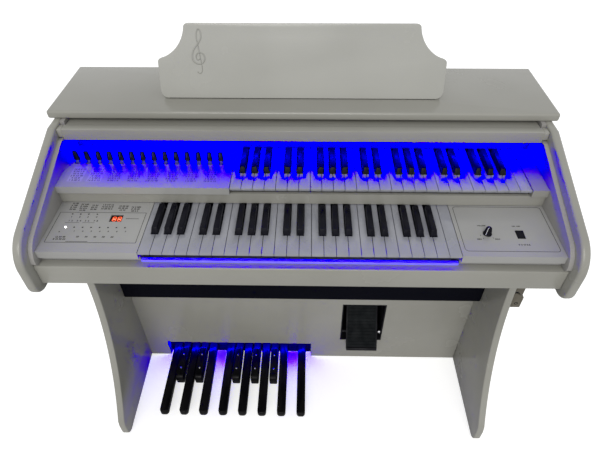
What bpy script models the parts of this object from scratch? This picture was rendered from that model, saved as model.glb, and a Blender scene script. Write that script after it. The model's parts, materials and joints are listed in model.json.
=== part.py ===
"""Two-manual home organ with a short pedalboard, a swell pedal and a sliding key cover.

Metres, +Z up, +X to the player's right, the player stands at -Y.
Shapes are drawn from the key line, where y = 0 is the front of the lower white keys,
and every piece is then moved back so that the origin lies on the floor under the middle
of the console's depth.
"""
import math

import bmesh
import bpy
from mathutils import Matrix, Vector

for leftover in list(bpy.data.objects):
    bpy.data.objects.remove(leftover, do_unlink=True)

# Driving dimensions: general
GAP = 0.0003                 # between pieces that touch
BED_UNDER = 0.657            # underside of the console above the floor
KEY_RISE = 0.078             # top of the lower white keys above that
CASE_HEIGHT = 0.201          # underside of the lid above that

# Driving dimensions: console case
INNER_WIDTH = 1.018          # between the cheeks
CHEEK_THICK = 0.018
CHEEK_DROP = 0.020           # cheek's lower edge below the console's underside
CHEEK_BACK = 0.470
CHEEK_EDGE_RADIUS = 0.0038
SLOPE_TOP_Y = 0.238          # where the sloping front edge meets the lid
SLOPE_RISE = 0.35            # rise of the front edge for each metre back
NOSE_Y = -0.034
NOSE_RADIUS = 0.070
NOSE_FOOT_RADIUS = 0.031
LINER_THICK = 0.009
LINER_SETBACK = 0.0215       # liner's front edge inside the cheek's
LINER_FOOT_Y = -0.0085
LEDGE_HEIGHT = 0.026         # liner ledge under the cover below the lid
LEDGE_BACK = 0.262
LID_THICK = 0.018
LID_FRONT = 0.2715
LID_DEPTH = 0.2105
LID_OVERHANG = 0.0095
LID_EDGE_RADIUS = 0.007
BED_THICK = 0.018
RAIL_FRONT = -0.011
RAIL_THICK = 0.020
RAIL_HEIGHT = 0.049
BACK_THICK = 0.006

# Driving dimensions: manuals
WHITE_PITCH = 0.0235
WHITE_COUNT = 26
WHITE_GAP = 0.001
LOWER_CENTRE = 0.0
UPPER_SETBACK = 0.142
UPPER_RISE = 0.043
LIP_THICK = 0.005
LIP_REACH = 0.012
WHITE_BODY = 0.016           # depth of a white key's body below its top
STEM_BODY = 0.008
BODY_END = 0.150
STEM_START = 0.158
WHITE_PIVOT = 0.210          # key line to the white keys' pivot
WHITE_STRIP = 0.022          # depth of the strip that joins a comb of white keys
WHITE_STRIP_BODY = 0.014
SHARP_FRONT = 0.0525
SHARP_BACK = 0.1305
SHARP_HEIGHT = 0.012
SHARP_WIDTH = 0.0135
SHARP_TAPER = 0.0015
SHARP_CLEAR = 0.0009
NOTCH_CLEAR = 0.0014         # before a sharp's front, for its swing
SHARP_PIVOT = 0.182
SHARP_STRIP = 0.022
SHARP_STRIP_TOP = 0.0125
SHARP_STRIP_BODY = 0.0075
ARM_WIDTH = 0.010

# Driving dimensions: upper housing and control panels
PANEL_TOP_LIFT = 0.0007      # lower panels above the white keys
PANEL_BOARD = 0.0173         # visible edge of the lower panels
PANEL_BACK = 0.160
PANEL_SKIN = 0.004
PANEL_WALL = 0.010
RISER_FRONT = 0.1446
RISER_THICK = 0.012
RISER_UNDER = 0.002          # riser's lower edge above the white keys
DECK_RISE = 0.009            # board under the upper manual above the lower white keys
DECK_THICK = 0.008
SILL_THICK = 0.006
KEY_DIP = 0.0105             # room under the upper keys' lips for their travel
DECK_BACK = 0.385
TAB_PANEL_FRONT = 0.1393
TAB_PANEL_LIFT = 0.0025      # tab panel above the upper white keys
NAMEBOARD_FRONT = 0.2865
NAMEBOARD_THICK = 0.010
NAMEBOARD_HEIGHT = 0.044
END_BLOCK_WIDTH = 0.0323     # between the upper manual and the right liner
TAB_COUNT = 14
TAB_END_MARGINS = (0.0189, 0.0266)   # end tabs' middles from the tab panel's ends
TAB_Y = 0.224
TAB_WIDTH = 0.010
TAB_THICK = 0.005
TAB_RISE = 0.0255            # tab above its panel
TAB_LEAN = 6.0

# Driving dimensions: small controls on the lower panels
DISPLAY_SHARE = 0.661        # place across the left panel, from its outer end
DISPLAY_Y = 0.0957
DISPLAY_SIZE = (0.0246, 0.0205)
KNOB_SHARE = 0.3089          # place across the right panel, from its inner end
KNOB_Y = 0.0605
KNOB_RADIUS = 0.0085
KNOB_TOP_RADIUS = 0.0052
KNOB_HEIGHT = 0.0170
KNOB_POINTS = 230.0          # where the pointer looks at the lowest volume
SHAFT_RADIUS = 0.003
ROCKER_SHARE = 0.6379
ROCKER_Y = 0.0593
ROCKER_SIZE = (0.0150, 0.0214)
ROCKER_LEAN = 6.0

# Driving dimensions: cover
COVER_FRONT = 0.2367
BAR_DEPTH = 0.020
BAR_HEIGHT = 0.0212          # above the liners' ledges
BAR_DROP = 0.0044            # bar's middle below the ledges
BOARD_STEP = 0.004           # board's front below the bar's top
BOARD_THICK = 0.008
COVER_ARM = 0.218            # cover's front to its guide rod
ROD_RADIUS = 0.004
ROD_HEIGHT = 0.0102          # rod's axis above the liner's ledge
ROD_ENTRY = 0.005            # how far the rod reaches into each liner
COVER_TRAVEL = 0.178
COVER_CLEAR = 0.0012
BAR_RELIEF = (0.003, 0.010)  # cut under the bar's ends, at its front and back

# Driving dimensions: music desk
DESK_WIDTH = 0.605
DESK_HEIGHT = 0.152
DESK_CORNER = 0.016
DESK_SHOULDER = 0.0755       # height where the sides end
DESK_SHOULDER_RADIUS = 0.009
DESK_SWEEP_RADIUS = 0.0735
DESK_SWEEP_CENTRE = (0.0130, 0.0029)  # beyond the desk's end and above its top
DESK_TOP_RADIUS = 0.008
DESK_THICK = 0.015
DESK_LEAN = 18.0
DESK_Y = 0.3275
DOWEL_RADIUS = 0.004
DOWEL_DEPTH = 0.010
DOWEL_X = 0.200

# Driving dimensions: stand
LEG_INSET = 0.0213           # leg's inner face inside the cheek's
LEG_THICK = 0.018
LEG_TOP_Y = 0.112
LEG_UPRIGHT = 0.107          # upright part of the leg's front edge
LEG_RADIUS = 0.915
LEG_BACK = 0.450
TOE_Z = 0.075
TOE_RADIUS = 0.022
KNEE_Y = 0.2435
KNEE_THICK = 0.015
BAFFLE_Y = 0.210
BAFFLE_THICK = 0.012
BAFFLE_HEIGHT = 0.324

# Driving dimensions: pedalboard
PEDAL_PITCH = 0.0565
PEDAL_FROM_LEG = 0.0927      # first pedal's middle from the left leg
PEDAL_FRONT = 0.026
PEDAL_WIDTH = 0.025
PEDAL_NOSE = 0.009
PEDAL_BODY = 0.022
PEDAL_TOP = 0.045
PEDAL_PIVOT = 0.4322
SHARP_PEDAL_FRONT = 0.125
SHARP_PEDAL_BACK = 0.236
SHARP_PEDAL_WIDTH = 0.023
SHARP_PEDAL_RISE = 0.017
SLOT_HEIGHT = 0.069
SLOT_MARGIN = 0.0160         # slot's side beyond the outer pedals
FRAME_WALL = 0.012
FRAME_BASE = 0.007
FRAME_END = 0.012
FRAME_TOP = 0.0655
WINDOW_UNDER = 0.016
PEDAL_SIDE_CLEAR = 0.0011

# Driving dimensions: swell pedal
SWELL_FROM_PEDALS = 0.1818   # swell pedal's middle from the last pedal's
SWELL_HOLE = (0.1265, 0.1765)
SWELL_HOLE_UNDER = 0.094
SWELL_BOX_DEPTH = 0.132
SWELL_BOX_WALL = 0.003
SWELL_WIDTH = 0.094
SWELL_LENGTH = 0.190
SWELL_PLATE = 0.006
SWELL_TILT = 52.0
SWELL_HEEL = (0.203, 0.098)
SWELL_PIVOT = (0.252, 0.130)
SWELL_PIN_RADIUS = 0.004
SWELL_EAR = 0.040

# Driving dimensions: side box and light strips
JACK_WIDTHS = (0.0262, 0.0205)  # lower and upper block
JACK_NECK = 0.009
JACK_DEPTH = 0.047
JACK_HEIGHT = 0.107
JACK_SEAM = (0.051, 0.038)   # joint above the underside, at the neck and outside
JACK_JOINT = 0.007
JACK_FRONT = 0.112
JACK_DROP = 0.219            # box's underside below the console's
STRIP_DEPTH = 0.008
STRIP_HEIGHT = 0.006

# Places worked out from the driving dimensions
KEY_TOP = BED_UNDER + KEY_RISE
LID_UNDER = BED_UNDER + CASE_HEIGHT
CHEEK_UNDER = BED_UNDER - CHEEK_DROP
DECK_UNDER = KEY_TOP + DECK_RISE
LEG_BEND_Z = BED_UNDER - LEG_UPRIGHT
BAFFLE_UNDER = BED_UNDER - BAFFLE_HEIGHT
JACK_UNDER = BED_UNDER - JACK_DROP
HALF_INNER = INNER_WIDTH / 2
HALF_LINER = HALF_INNER - GAP - LINER_THICK
LID_BACK = LID_FRONT + LID_DEPTH
MID_DEPTH = (NOSE_Y + LID_BACK) / 2
BED_TOP = BED_UNDER + BED_THICK
RAIL_BACK = RAIL_FRONT + RAIL_THICK
RAIL_TOP = BED_UNDER + RAIL_HEIGHT
BACK_FRONT = CHEEK_BACK - BACK_THICK
LEDGE_Z = LID_UNDER - LEDGE_HEIGHT
ROD_Y = COVER_FRONT + COVER_ARM
ROD_Z = LEDGE_Z + ROD_HEIGHT
UPPER_TOP = KEY_TOP + UPPER_RISE
DECK_TOP = DECK_UNDER + DECK_THICK
PANEL_TOP = KEY_TOP + PANEL_TOP_LIFT
TAB_PANEL_TOP = UPPER_TOP + TAB_PANEL_LIFT
MANUAL_WIDTH = WHITE_PITCH * WHITE_COUNT
PANEL_INNER = LOWER_CENTRE + MANUAL_WIDTH / 2 + GAP
PANEL_OUTER = HALF_LINER - GAP
PANEL_WIDTH = PANEL_OUTER - PANEL_INNER
UPPER_CENTRE = PANEL_OUTER - END_BLOCK_WIDTH - GAP - MANUAL_WIDTH / 2
TAB_PANEL_RIGHT = UPPER_CENTRE - MANUAL_WIDTH / 2 - GAP
TAB_FIRST_X = -PANEL_OUTER + TAB_END_MARGINS[0]
TAB_PITCH = (TAB_PANEL_RIGHT - TAB_END_MARGINS[1] - TAB_FIRST_X) / (TAB_COUNT - 1)
DISPLAY_X = -PANEL_OUTER + DISPLAY_SHARE * PANEL_WIDTH
KNOB_X = PANEL_INNER + KNOB_SHARE * PANEL_WIDTH
ROCKER_X = PANEL_INNER + ROCKER_SHARE * PANEL_WIDTH
LEG_INNER = HALF_INNER - LEG_INSET
PEDAL_FIRST_X = PEDAL_FROM_LEG - LEG_INNER
SWELL_X = PEDAL_FIRST_X + 7 * PEDAL_PITCH + SWELL_FROM_PEDALS
ARC_STEPS = 8
SHARPS_AFTER = {0: -0.0020, 1: 0.0, 2: 0.0020, 4: -0.0015, 5: 0.0015}
FAR = 2.0


def make_material(name, colour, roughness, metallic=0.0):
    """A plain finish for one kind of piece."""
    material = bpy.data.materials.new(name)
    material.use_nodes = True
    shader = material.node_tree.nodes["Principled BSDF"]
    shader.inputs["Base Color"].default_value = (*colour, 1.0)
    shader.inputs["Roughness"].default_value = roughness
    shader.inputs["Metallic"].default_value = metallic
    return material


LACQUER = make_material("white_lacquer", (0.62, 0.61, 0.56), 0.28)
LINER_PAINT = make_material("liner_lacquer", (0.66, 0.65, 0.62), 0.30)
WHITE_KEY = make_material("white_key", (0.78, 0.79, 0.80), 0.22)
BLACK_KEY = make_material("black_key", (0.012, 0.012, 0.016), 0.30)
BLACK_PAINT = make_material("black_paint", (0.015, 0.015, 0.020), 0.45)
BAFFLE_CLOTH = make_material("baffle_cloth", (0.010, 0.010, 0.014), 0.95)
PANEL_FILM = make_material("panel_film", (0.66, 0.66, 0.64), 0.40)
RED_WINDOW = make_material("red_window", (0.30, 0.012, 0.010), 0.15)
STEEL = make_material("bright_steel", (0.60, 0.60, 0.62), 0.30, 1.0)
LIGHT_STRIP = make_material("blue_light_strip", (0.02, 0.04, 0.95), 0.40)
TAN_WOOD = make_material("tan_wood", (0.50, 0.44, 0.34), 0.55)
HARDBOARD = make_material("hardboard", (0.34, 0.24, 0.15), 0.80)


def finish(name, mesh_data, material, pivot=(0.0, 0.0, 0.0)):
    """Makes an object from a bmesh drawn from the key line, with its origin at pivot."""
    bmesh.ops.recalc_face_normals(mesh_data, faces=mesh_data.faces)
    bmesh.ops.translate(mesh_data, vec=-Vector(pivot), verts=mesh_data.verts)
    mesh = bpy.data.meshes.new(name)
    mesh_data.to_mesh(mesh)
    mesh_data.free()
    mesh.materials.append(material)
    obj = bpy.data.objects.new(name, mesh)
    obj.location = Vector(pivot) - Vector((0.0, MID_DEPTH, 0.0))
    bpy.context.collection.objects.link(obj)
    return obj


def prism(points, low, high, axis, into=None):
    """Extrudes an outline along one axis. Outline pairs are the two other axes in order."""
    mesh_data = into if into is not None else bmesh.new()
    order = {"x": lambda a, b, d: (d, a, b), "y": lambda a, b, d: (a, d, b),
             "z": lambda a, b, d: (a, b, d)}[axis]
    first = [mesh_data.verts.new(order(a, b, low)) for a, b in points]
    second = [mesh_data.verts.new(order(a, b, high)) for a, b in points]
    mesh_data.faces.new(first)
    mesh_data.faces.new(list(reversed(second)))
    count = len(points)
    for i in range(count):
        j = (i + 1) % count
        mesh_data.faces.new((first[i], second[i], second[j], first[j]))
    return mesh_data


def block(x0, x1, y0, y1, z0, z1, into=None):
    """A rectangular block between two corners."""
    return prism([(x0, y0), (x1, y0), (x1, y1), (x0, y1)], z0, z1, "z", into)


def arc(centre, radius, start, end, steps=ARC_STEPS):
    """Points on an arc, angles in degrees."""
    angles = [math.radians(start + (end - start) * i / steps) for i in range(steps + 1)]
    return [(centre[0] + radius * math.cos(a), centre[1] + radius * math.sin(a)) for a in angles]


def round_rod(centre, radius, low, high, axis, steps=16, into=None):
    """A round bar along one axis."""
    return prism(arc(centre, radius, 0.0, 360.0 - 360.0 / steps, steps - 1), low, high, axis, into)


def combine(obj, mesh_data, operation):
    """Cuts or adds a shape drawn from the key line with a Boolean modifier."""
    tool = finish(obj.name + "_" + operation.lower(), mesh_data, obj.data.materials[0])
    tool.hide_render = True
    tool.display_type = "WIRE"
    modifier = obj.modifiers.new(operation.title(), "BOOLEAN")
    modifier.operation = operation
    modifier.solver = "EXACT"
    modifier.object = tool
    return obj


def cut(obj, mesh_data):
    return combine(obj, mesh_data, "DIFFERENCE")


def add(obj, mesh_data):
    return combine(obj, mesh_data, "UNION")


def ease_edges(obj, width, segments=1, angle=50.0):
    """Rounds the edges that turn more than the angle."""
    modifier = obj.modifiers.new("Eased edges", "BEVEL")
    modifier.width = width
    modifier.segments = segments
    modifier.limit_method = "ANGLE"
    modifier.angle_limit = math.radians(angle)
    return obj


def shade(obj, angle=35.0):
    obj.data.shade_smooth()
    obj.data.set_sharp_from_angle(angle=math.radians(angle))
    return obj


def front_edge(setback, top_z, foot):
    """Front line of a side board, parallel to the cheek's: slope, round nose and foot."""
    slope = math.atan(SLOPE_RISE)
    tangent = NOSE_RADIUS * math.tan((math.pi / 2 - slope) / 2)
    nose_top = LID_UNDER - SLOPE_RISE * (SLOPE_TOP_Y - NOSE_Y)
    centre = (NOSE_Y + NOSE_RADIUS, nose_top - tangent)
    drop = setback / math.cos(slope)
    top_y = SLOPE_TOP_Y - (LID_UNDER - drop - top_z) / SLOPE_RISE
    start = 90.0 + math.degrees(slope)
    return [(top_y, top_z)] + arc(centre, NOSE_RADIUS - setback, start, 180.0) + foot


def build_cheeks():
    """The two lacquered side boards with their sloping, round-nosed fronts."""
    foot_centre = (NOSE_Y + NOSE_FOOT_RADIUS, CHEEK_UNDER + NOSE_FOOT_RADIUS)
    foot = arc(foot_centre, NOSE_FOOT_RADIUS, 180.0, 270.0, 6)
    outline = front_edge(0.0, LID_UNDER - GAP, foot)
    outline += [(CHEEK_BACK, CHEEK_UNDER), (CHEEK_BACK, LID_UNDER - GAP)]
    for name, side in (("left_cheek", -1), ("right_cheek", 1)):
        inner, outer = side * HALF_INNER, side * (HALF_INNER + CHEEK_THICK)
        shape = prism(outline, min(inner, outer), max(inner, outer), "x")
        shade(ease_edges(finish(name, shape, LACQUER), CHEEK_EDGE_RADIUS, 2))


def build_liners():
    """The thinner boards inside the cheeks, whose upper edges carry the sliding cover."""
    foot = [(LINER_FOOT_Y, RAIL_TOP + GAP), (RAIL_BACK + GAP, RAIL_TOP + GAP),
            (RAIL_BACK + GAP, BED_TOP + GAP)]
    outline = front_edge(LINER_SETBACK, LEDGE_Z, foot)
    outline += [(BACK_FRONT - GAP, BED_TOP + GAP), (BACK_FRONT - GAP, LID_UNDER - GAP),
                (LEDGE_BACK, LID_UNDER - GAP), (LEDGE_BACK, LEDGE_Z)]
    groove_half = ROD_RADIUS + 0.0005
    groove_front = ROD_Y - COVER_TRAVEL - groove_half - 0.001
    groove_back = ROD_Y + groove_half
    for name, side in (("left_liner", -1), ("right_liner", 1)):
        inner, outer = side * HALF_LINER, side * (HALF_INNER - GAP)
        shape = prism(outline, min(inner, outer), max(inner, outer), "x")
        liner = finish(name, shape, LINER_PAINT)
        deep = side * (HALF_LINER + ROD_ENTRY + 0.0006)
        mouth = side * (HALF_LINER - 0.002)
        cut(liner, block(min(deep, mouth), max(deep, mouth), groove_front, groove_back,
                         ROD_Z - groove_half, ROD_Z + groove_half))
        shade(liner)


def build_lid():
    """The top board, with a bullnose edge and two dowel holes for the music desk."""
    half = HALF_INNER + CHEEK_THICK + LID_OVERHANG
    shape = block(-half, half, LID_FRONT, LID_BACK, LID_UNDER, LID_UNDER + LID_THICK)
    lid = ease_edges(finish("top_lid", shape, LACQUER), LID_EDGE_RADIUS, 3)
    holes = bmesh.new()
    top = LID_UNDER + LID_THICK
    for side in (-1, 1):
        round_rod((side * DOWEL_X, dowel_y()), DOWEL_RADIUS + GAP, top - DOWEL_DEPTH - GAP,
                  top + 0.004, "z", 12, holes)
    cut(lid, holes)
    shade(lid)


def dowel_y():
    """The dowels stand under the middle of the desk's thickness."""
    return DESK_Y + DESK_THICK / 2


def desk_outline():
    """Half of the desk's shaped outline from the middle of its foot to the middle of its top."""
    half, corner, round_top = DESK_WIDTH / 2, DESK_CORNER, DESK_TOP_RADIUS
    sweep_x, sweep_s = half + DESK_SWEEP_CENTRE[0], DESK_HEIGHT + DESK_SWEEP_CENTRE[1]
    points = arc((half - corner, corner), corner, -90.0, 0.0, 4)
    points += arc((half - DESK_SHOULDER_RADIUS, DESK_SHOULDER), DESK_SHOULDER_RADIUS, 0.0, 78.0, 3)
    sweep = arc((sweep_x, sweep_s), DESK_SWEEP_RADIUS, -105.9, -171.1, 8)
    neck = sweep[-1][0]
    return points + sweep + arc((neck - round_top, DESK_HEIGHT - round_top), round_top, 0.0, 90.0, 3)


def build_desk():
    """The music desk: a shaped board that leans back on the lid, held by two dowels."""
    right = desk_outline()
    outline = right + [(-x, s) for x, s in reversed(right)]
    shape = prism(outline, 0.0, DESK_THICK, "y")
    lean = Matrix.Rotation(math.radians(-DESK_LEAN), 4, "X")
    lid_top = LID_UNDER + LID_THICK
    sink = DESK_THICK * math.sin(math.radians(DESK_LEAN))
    move = Matrix.Translation((0.0, DESK_Y, lid_top))
    for vert in shape.verts:
        if vert.co.z < 1e-6:
            vert.co.z -= sink
    bmesh.ops.transform(shape, matrix=move @ lean, verts=shape.verts)
    desk = ease_edges(finish("music_desk", shape, LACQUER), 0.004, 2)
    floor_z = lid_top + GAP
    cut(desk, block(-DESK_WIDTH, DESK_WIDTH, DESK_Y - DESK_HEIGHT, DESK_Y + DESK_HEIGHT,
                    lid_top - 2 * DESK_THICK, floor_z))
    pins = bmesh.new()
    for side in (-1, 1):
        round_rod((side * DOWEL_X, dowel_y()), DOWEL_RADIUS, lid_top - DOWEL_DEPTH,
                  lid_top + 0.008, "z", 12, pins)
    add(desk, pins)
    shade(desk)


def build_case_boards():
    """The boards across the case: bed, front rail, back, nameboard and the upper deck."""
    x = HALF_INNER - GAP
    whites = KEY_TOP - WHITE_STRIP_BODY - GAP
    sharps = KEY_TOP - SHARP_STRIP_TOP - SHARP_STRIP_BODY - GAP
    shape = prism([(RAIL_BACK + GAP, BED_UNDER), (BACK_FRONT - GAP, BED_UNDER),
                   (BACK_FRONT - GAP, BED_TOP), (RAIL_BACK + GAP, BED_TOP)], -x, x, "x")
    keybed = finish("keybed", shape, LACQUER)
    frame = key_frame(BED_TOP - 0.002, 0.0, whites, sharps)
    span = MANUAL_WIDTH / 2
    add(keybed, prism(frame, LOWER_CENTRE - span + 0.002, LOWER_CENTRE + span - 0.002, "x"))
    shape = block(-x, x, RAIL_FRONT, RAIL_BACK, BED_UNDER, RAIL_TOP)
    ease_edges(finish("front_rail", shape, LACQUER), 0.0015)
    shape = block(-x, x, BACK_FRONT, CHEEK_BACK, BED_UNDER, LID_UNDER - GAP)
    finish("back_panel", shape, HARDBOARD)
    inside = HALF_LINER - GAP
    low = UPPER_TOP + 0.0015
    shape = block(-inside, inside, NAMEBOARD_FRONT, NAMEBOARD_FRONT + NAMEBOARD_THICK,
                  low, low + NAMEBOARD_HEIGHT)
    finish("nameboard", shape, LINER_PAINT)


def key_frame(base, front, white_rest, sharp_rest):
    """Side view of the stepped frame that one manual's key combs pivot on."""
    step = front + WHITE_PIVOT
    return [(front + SHARP_PIVOT, base), (step + 0.030, base), (step + 0.030, white_rest),
            (step, white_rest), (step, sharp_rest), (front + SHARP_PIVOT, sharp_rest)]


def build_upper_deck():
    """The deck of the upper manual with its riser and key frame."""
    inside = HALF_LINER - GAP
    riser_low = KEY_TOP + RISER_UNDER
    riser_back = RISER_FRONT + RISER_THICK
    sill = UPPER_TOP - LIP_THICK - KEY_DIP
    outline = [(RISER_FRONT, riser_low), (riser_back, riser_low), (riser_back, DECK_UNDER),
               (DECK_BACK, DECK_UNDER), (DECK_BACK, DECK_TOP), (RISER_FRONT + SILL_THICK, DECK_TOP),
               (RISER_FRONT + SILL_THICK, sill), (RISER_FRONT, sill)]
    deck = finish("upper_deck", prism(outline, -inside, inside, "x"), LACQUER)
    white_rest = UPPER_TOP - WHITE_STRIP_BODY - GAP
    sharp_rest = UPPER_TOP - SHARP_STRIP_TOP - SHARP_STRIP_BODY - GAP
    frame = key_frame(DECK_TOP - 0.002, UPPER_SETBACK, white_rest, sharp_rest)
    span = MANUAL_WIDTH / 2
    add(deck, prism(frame, UPPER_CENTRE - span + 0.002, UPPER_CENTRE + span - 0.002, "x"))


def sharps_in(first, last):
    """Middle of every sharp whose left neighbour is one of these white keys."""
    found = []
    for i in range(first, last + 1):
        if i % 7 in SHARPS_AFTER and i + 1 < WHITE_COUNT:
            found.append((i, (i + 1) * WHITE_PITCH + SHARPS_AFTER[i % 7]))
    return found


def build_white_comb(name, first, last, centre, front, top):
    """One octave of white keys, joined by a strip at their pivots as in a moulded key set."""
    left = centre - MANUAL_WIDTH / 2
    side_view = [(0.001, 0.0), (0.0, -0.001), (0.0, -LIP_THICK), (LIP_REACH, -LIP_THICK - 0.0015),
                 (LIP_REACH, -WHITE_BODY), (BODY_END, -WHITE_BODY), (STEM_START, -STEM_BODY),
                 (WHITE_PIVOT, -STEM_BODY), (WHITE_PIVOT, -WHITE_STRIP_BODY),
                 (WHITE_PIVOT + WHITE_STRIP, -WHITE_STRIP_BODY), (WHITE_PIVOT + WHITE_STRIP, 0.0)]
    outline = [(front + y, top + z) for y, z in side_view]
    x0 = left + first * WHITE_PITCH + WHITE_GAP / 2
    x1 = left + (last + 1) * WHITE_PITCH - WHITE_GAP / 2
    pivot = ((x0 + x1) / 2, front + WHITE_PIVOT, top - WHITE_STRIP_BODY)
    comb = finish(name, prism(outline, x0, x1, "x"), WHITE_KEY, pivot)
    sharps = dict(sharps_in(first, last))
    half_gap, half_notch = WHITE_GAP / 2, SHARP_WIDTH / 2 + SHARP_CLEAR
    y0, y_notch, y1 = front - LIP_REACH, front + SHARP_FRONT - NOTCH_CLEAR, front + WHITE_PIVOT - 0.002
    z0, z1 = top - 2 * WHITE_BODY, top + SHARP_HEIGHT
    slots = bmesh.new()
    for i in range(first, last):
        x = left + (i + 1) * WHITE_PITCH
        if i in sharps:
            s = left + sharps[i]
            prism([(x - half_gap, y0), (x + half_gap, y0), (x + half_gap, y_notch),
                   (s + half_notch, y_notch), (s + half_notch, y1), (s - half_notch, y1),
                   (s - half_notch, y_notch), (x - half_gap, y_notch)], z0, z1, "z", slots)
        else:
            prism([(x - half_gap, y0), (x + half_gap, y0), (x + half_gap, y1), (x - half_gap, y1)],
                  z0, z1, "z", slots)
    cut(comb, slots)
    return comb


def build_sharp_comb(name, first, last, centre, front, top):
    """The sharps between the same white keys, joined by a strip under the white stems."""
    left = centre - MANUAL_WIDTH / 2
    sharps = [left + x for _, x in sharps_in(first, last)]
    strip_low = -SHARP_STRIP_TOP - SHARP_STRIP_BODY
    side_view = [(SHARP_FRONT, -WHITE_BODY), (SHARP_FRONT, 0.0),
                 (SHARP_FRONT + 0.004, SHARP_HEIGHT - 0.0012), (SHARP_FRONT + 0.0055, SHARP_HEIGHT),
                 (SHARP_BACK - 0.001, SHARP_HEIGHT),
                 (SHARP_BACK, SHARP_HEIGHT - 0.001), (SHARP_BACK, -SHARP_STRIP_TOP),
                 (SHARP_PIVOT + SHARP_STRIP, -SHARP_STRIP_TOP), (SHARP_PIVOT + SHARP_STRIP, strip_low),
                 (SHARP_PIVOT, strip_low), (SHARP_PIVOT - 0.004, -SHARP_STRIP_TOP - 0.005),
                 (SHARP_BACK - 0.004, -SHARP_STRIP_TOP - 0.005)]
    outline = [(front + y, top + z) for y, z in side_view]
    half = SHARP_WIDTH / 2
    x0, x1 = sharps[0] - half, sharps[-1] + half
    pivot = ((x0 + x1) / 2, front + SHARP_PIVOT, top + strip_low)
    comb = finish(name, prism(outline, x0, x1, "x"), BLACK_KEY, pivot)
    y0, y1 = front + SHARP_FRONT - 0.01, front + SHARP_PIVOT - 0.001
    low, high = top - 2 * WHITE_BODY, top + 1.3 * SHARP_HEIGHT
    lean = SHARP_TAPER * (high - top) / SHARP_HEIGHT
    waste = bmesh.new()
    for a, b in zip(sharps[:-1], sharps[1:]):
        prism([(a + half, low), (b - half, low), (b - half, top), (b - half + lean, high),
               (a + half - lean, high), (a + half, top)], y0, y1, "y", waste)
    prism([(x0 - 0.01, top), (x0, top), (x0 + lean, high), (x0 - 0.01, high)], y0, y1, "y", waste)
    prism([(x1 + 0.01, top), (x1 + 0.01, high), (x1 - lean, high), (x1, top)], y0, y1, "y", waste)
    cut(comb, waste)
    return comb


def build_manuals():
    """Both manuals: four combs of white keys and three of sharps each, F to C."""
    white_groups = ((0, 6), (7, 13), (14, 20), (21, 25))
    sharp_groups = ((0, 6), (7, 13), (14, 25))
    for word, centre, front, top in (("lower", LOWER_CENTRE, 0.0, KEY_TOP),
                                     ("upper", UPPER_CENTRE, UPPER_SETBACK, UPPER_TOP)):
        for number, (first, last) in enumerate(white_groups, 1):
            build_white_comb(f"{word}_white_keys_{number}", first, last, centre, front, top)
        for number, (first, last) in enumerate(sharp_groups, 1):
            build_sharp_comb(f"{word}_sharp_keys_{number}", first, last, centre, front, top)


def build_lower_panel(name, x0, x1):
    """A lower control panel: a film-faced board on a hollow foot, open below."""
    board_low = PANEL_TOP - PANEL_BOARD
    foot_front = RAIL_BACK + GAP
    outline = [(0.0, board_low), (foot_front, board_low), (foot_front, BED_TOP + GAP),
               (PANEL_BACK, BED_TOP + GAP), (PANEL_BACK, KEY_TOP), (RISER_FRONT - GAP, KEY_TOP),
               (RISER_FRONT - GAP, PANEL_TOP), (0.0, PANEL_TOP)]
    panel = finish(name, prism(outline, x0, x1, "x"), PANEL_FILM)
    cut(panel, block(x0 + PANEL_WALL, x1 - PANEL_WALL, foot_front + PANEL_WALL,
                     PANEL_BACK - PANEL_WALL, BED_TOP - 0.01, PANEL_TOP - PANEL_SKIN))
    return panel


def build_lower_panels():
    """Left panel with the display, right panel with the volume knob and the rocker."""
    left = build_lower_panel("left_control_panel", -PANEL_OUTER, 2 * LOWER_CENTRE - PANEL_INNER)
    w, d = DISPLAY_SIZE[0] / 2 + GAP, DISPLAY_SIZE[1] / 2 + GAP
    recess = PANEL_TOP - 0.003
    cut(left, block(DISPLAY_X - w, DISPLAY_X + w, DISPLAY_Y - d, DISPLAY_Y + d, recess, PANEL_TOP + 0.01))
    right = build_lower_panel("right_control_panel", PANEL_INNER, PANEL_OUTER)
    openings = round_rod((KNOB_X, KNOB_Y), SHAFT_RADIUS + GAP, PANEL_TOP - 0.01, PANEL_TOP + 0.01, "z", 12)
    w, d = ROCKER_SIZE[0] / 2 + 0.0005, ROCKER_SIZE[1] / 2 + 0.0005
    block(ROCKER_X - w, ROCKER_X + w, ROCKER_Y - d, ROCKER_Y + d,
          PANEL_TOP - 0.01, PANEL_TOP + 0.01, openings)
    cut(right, openings)


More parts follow.
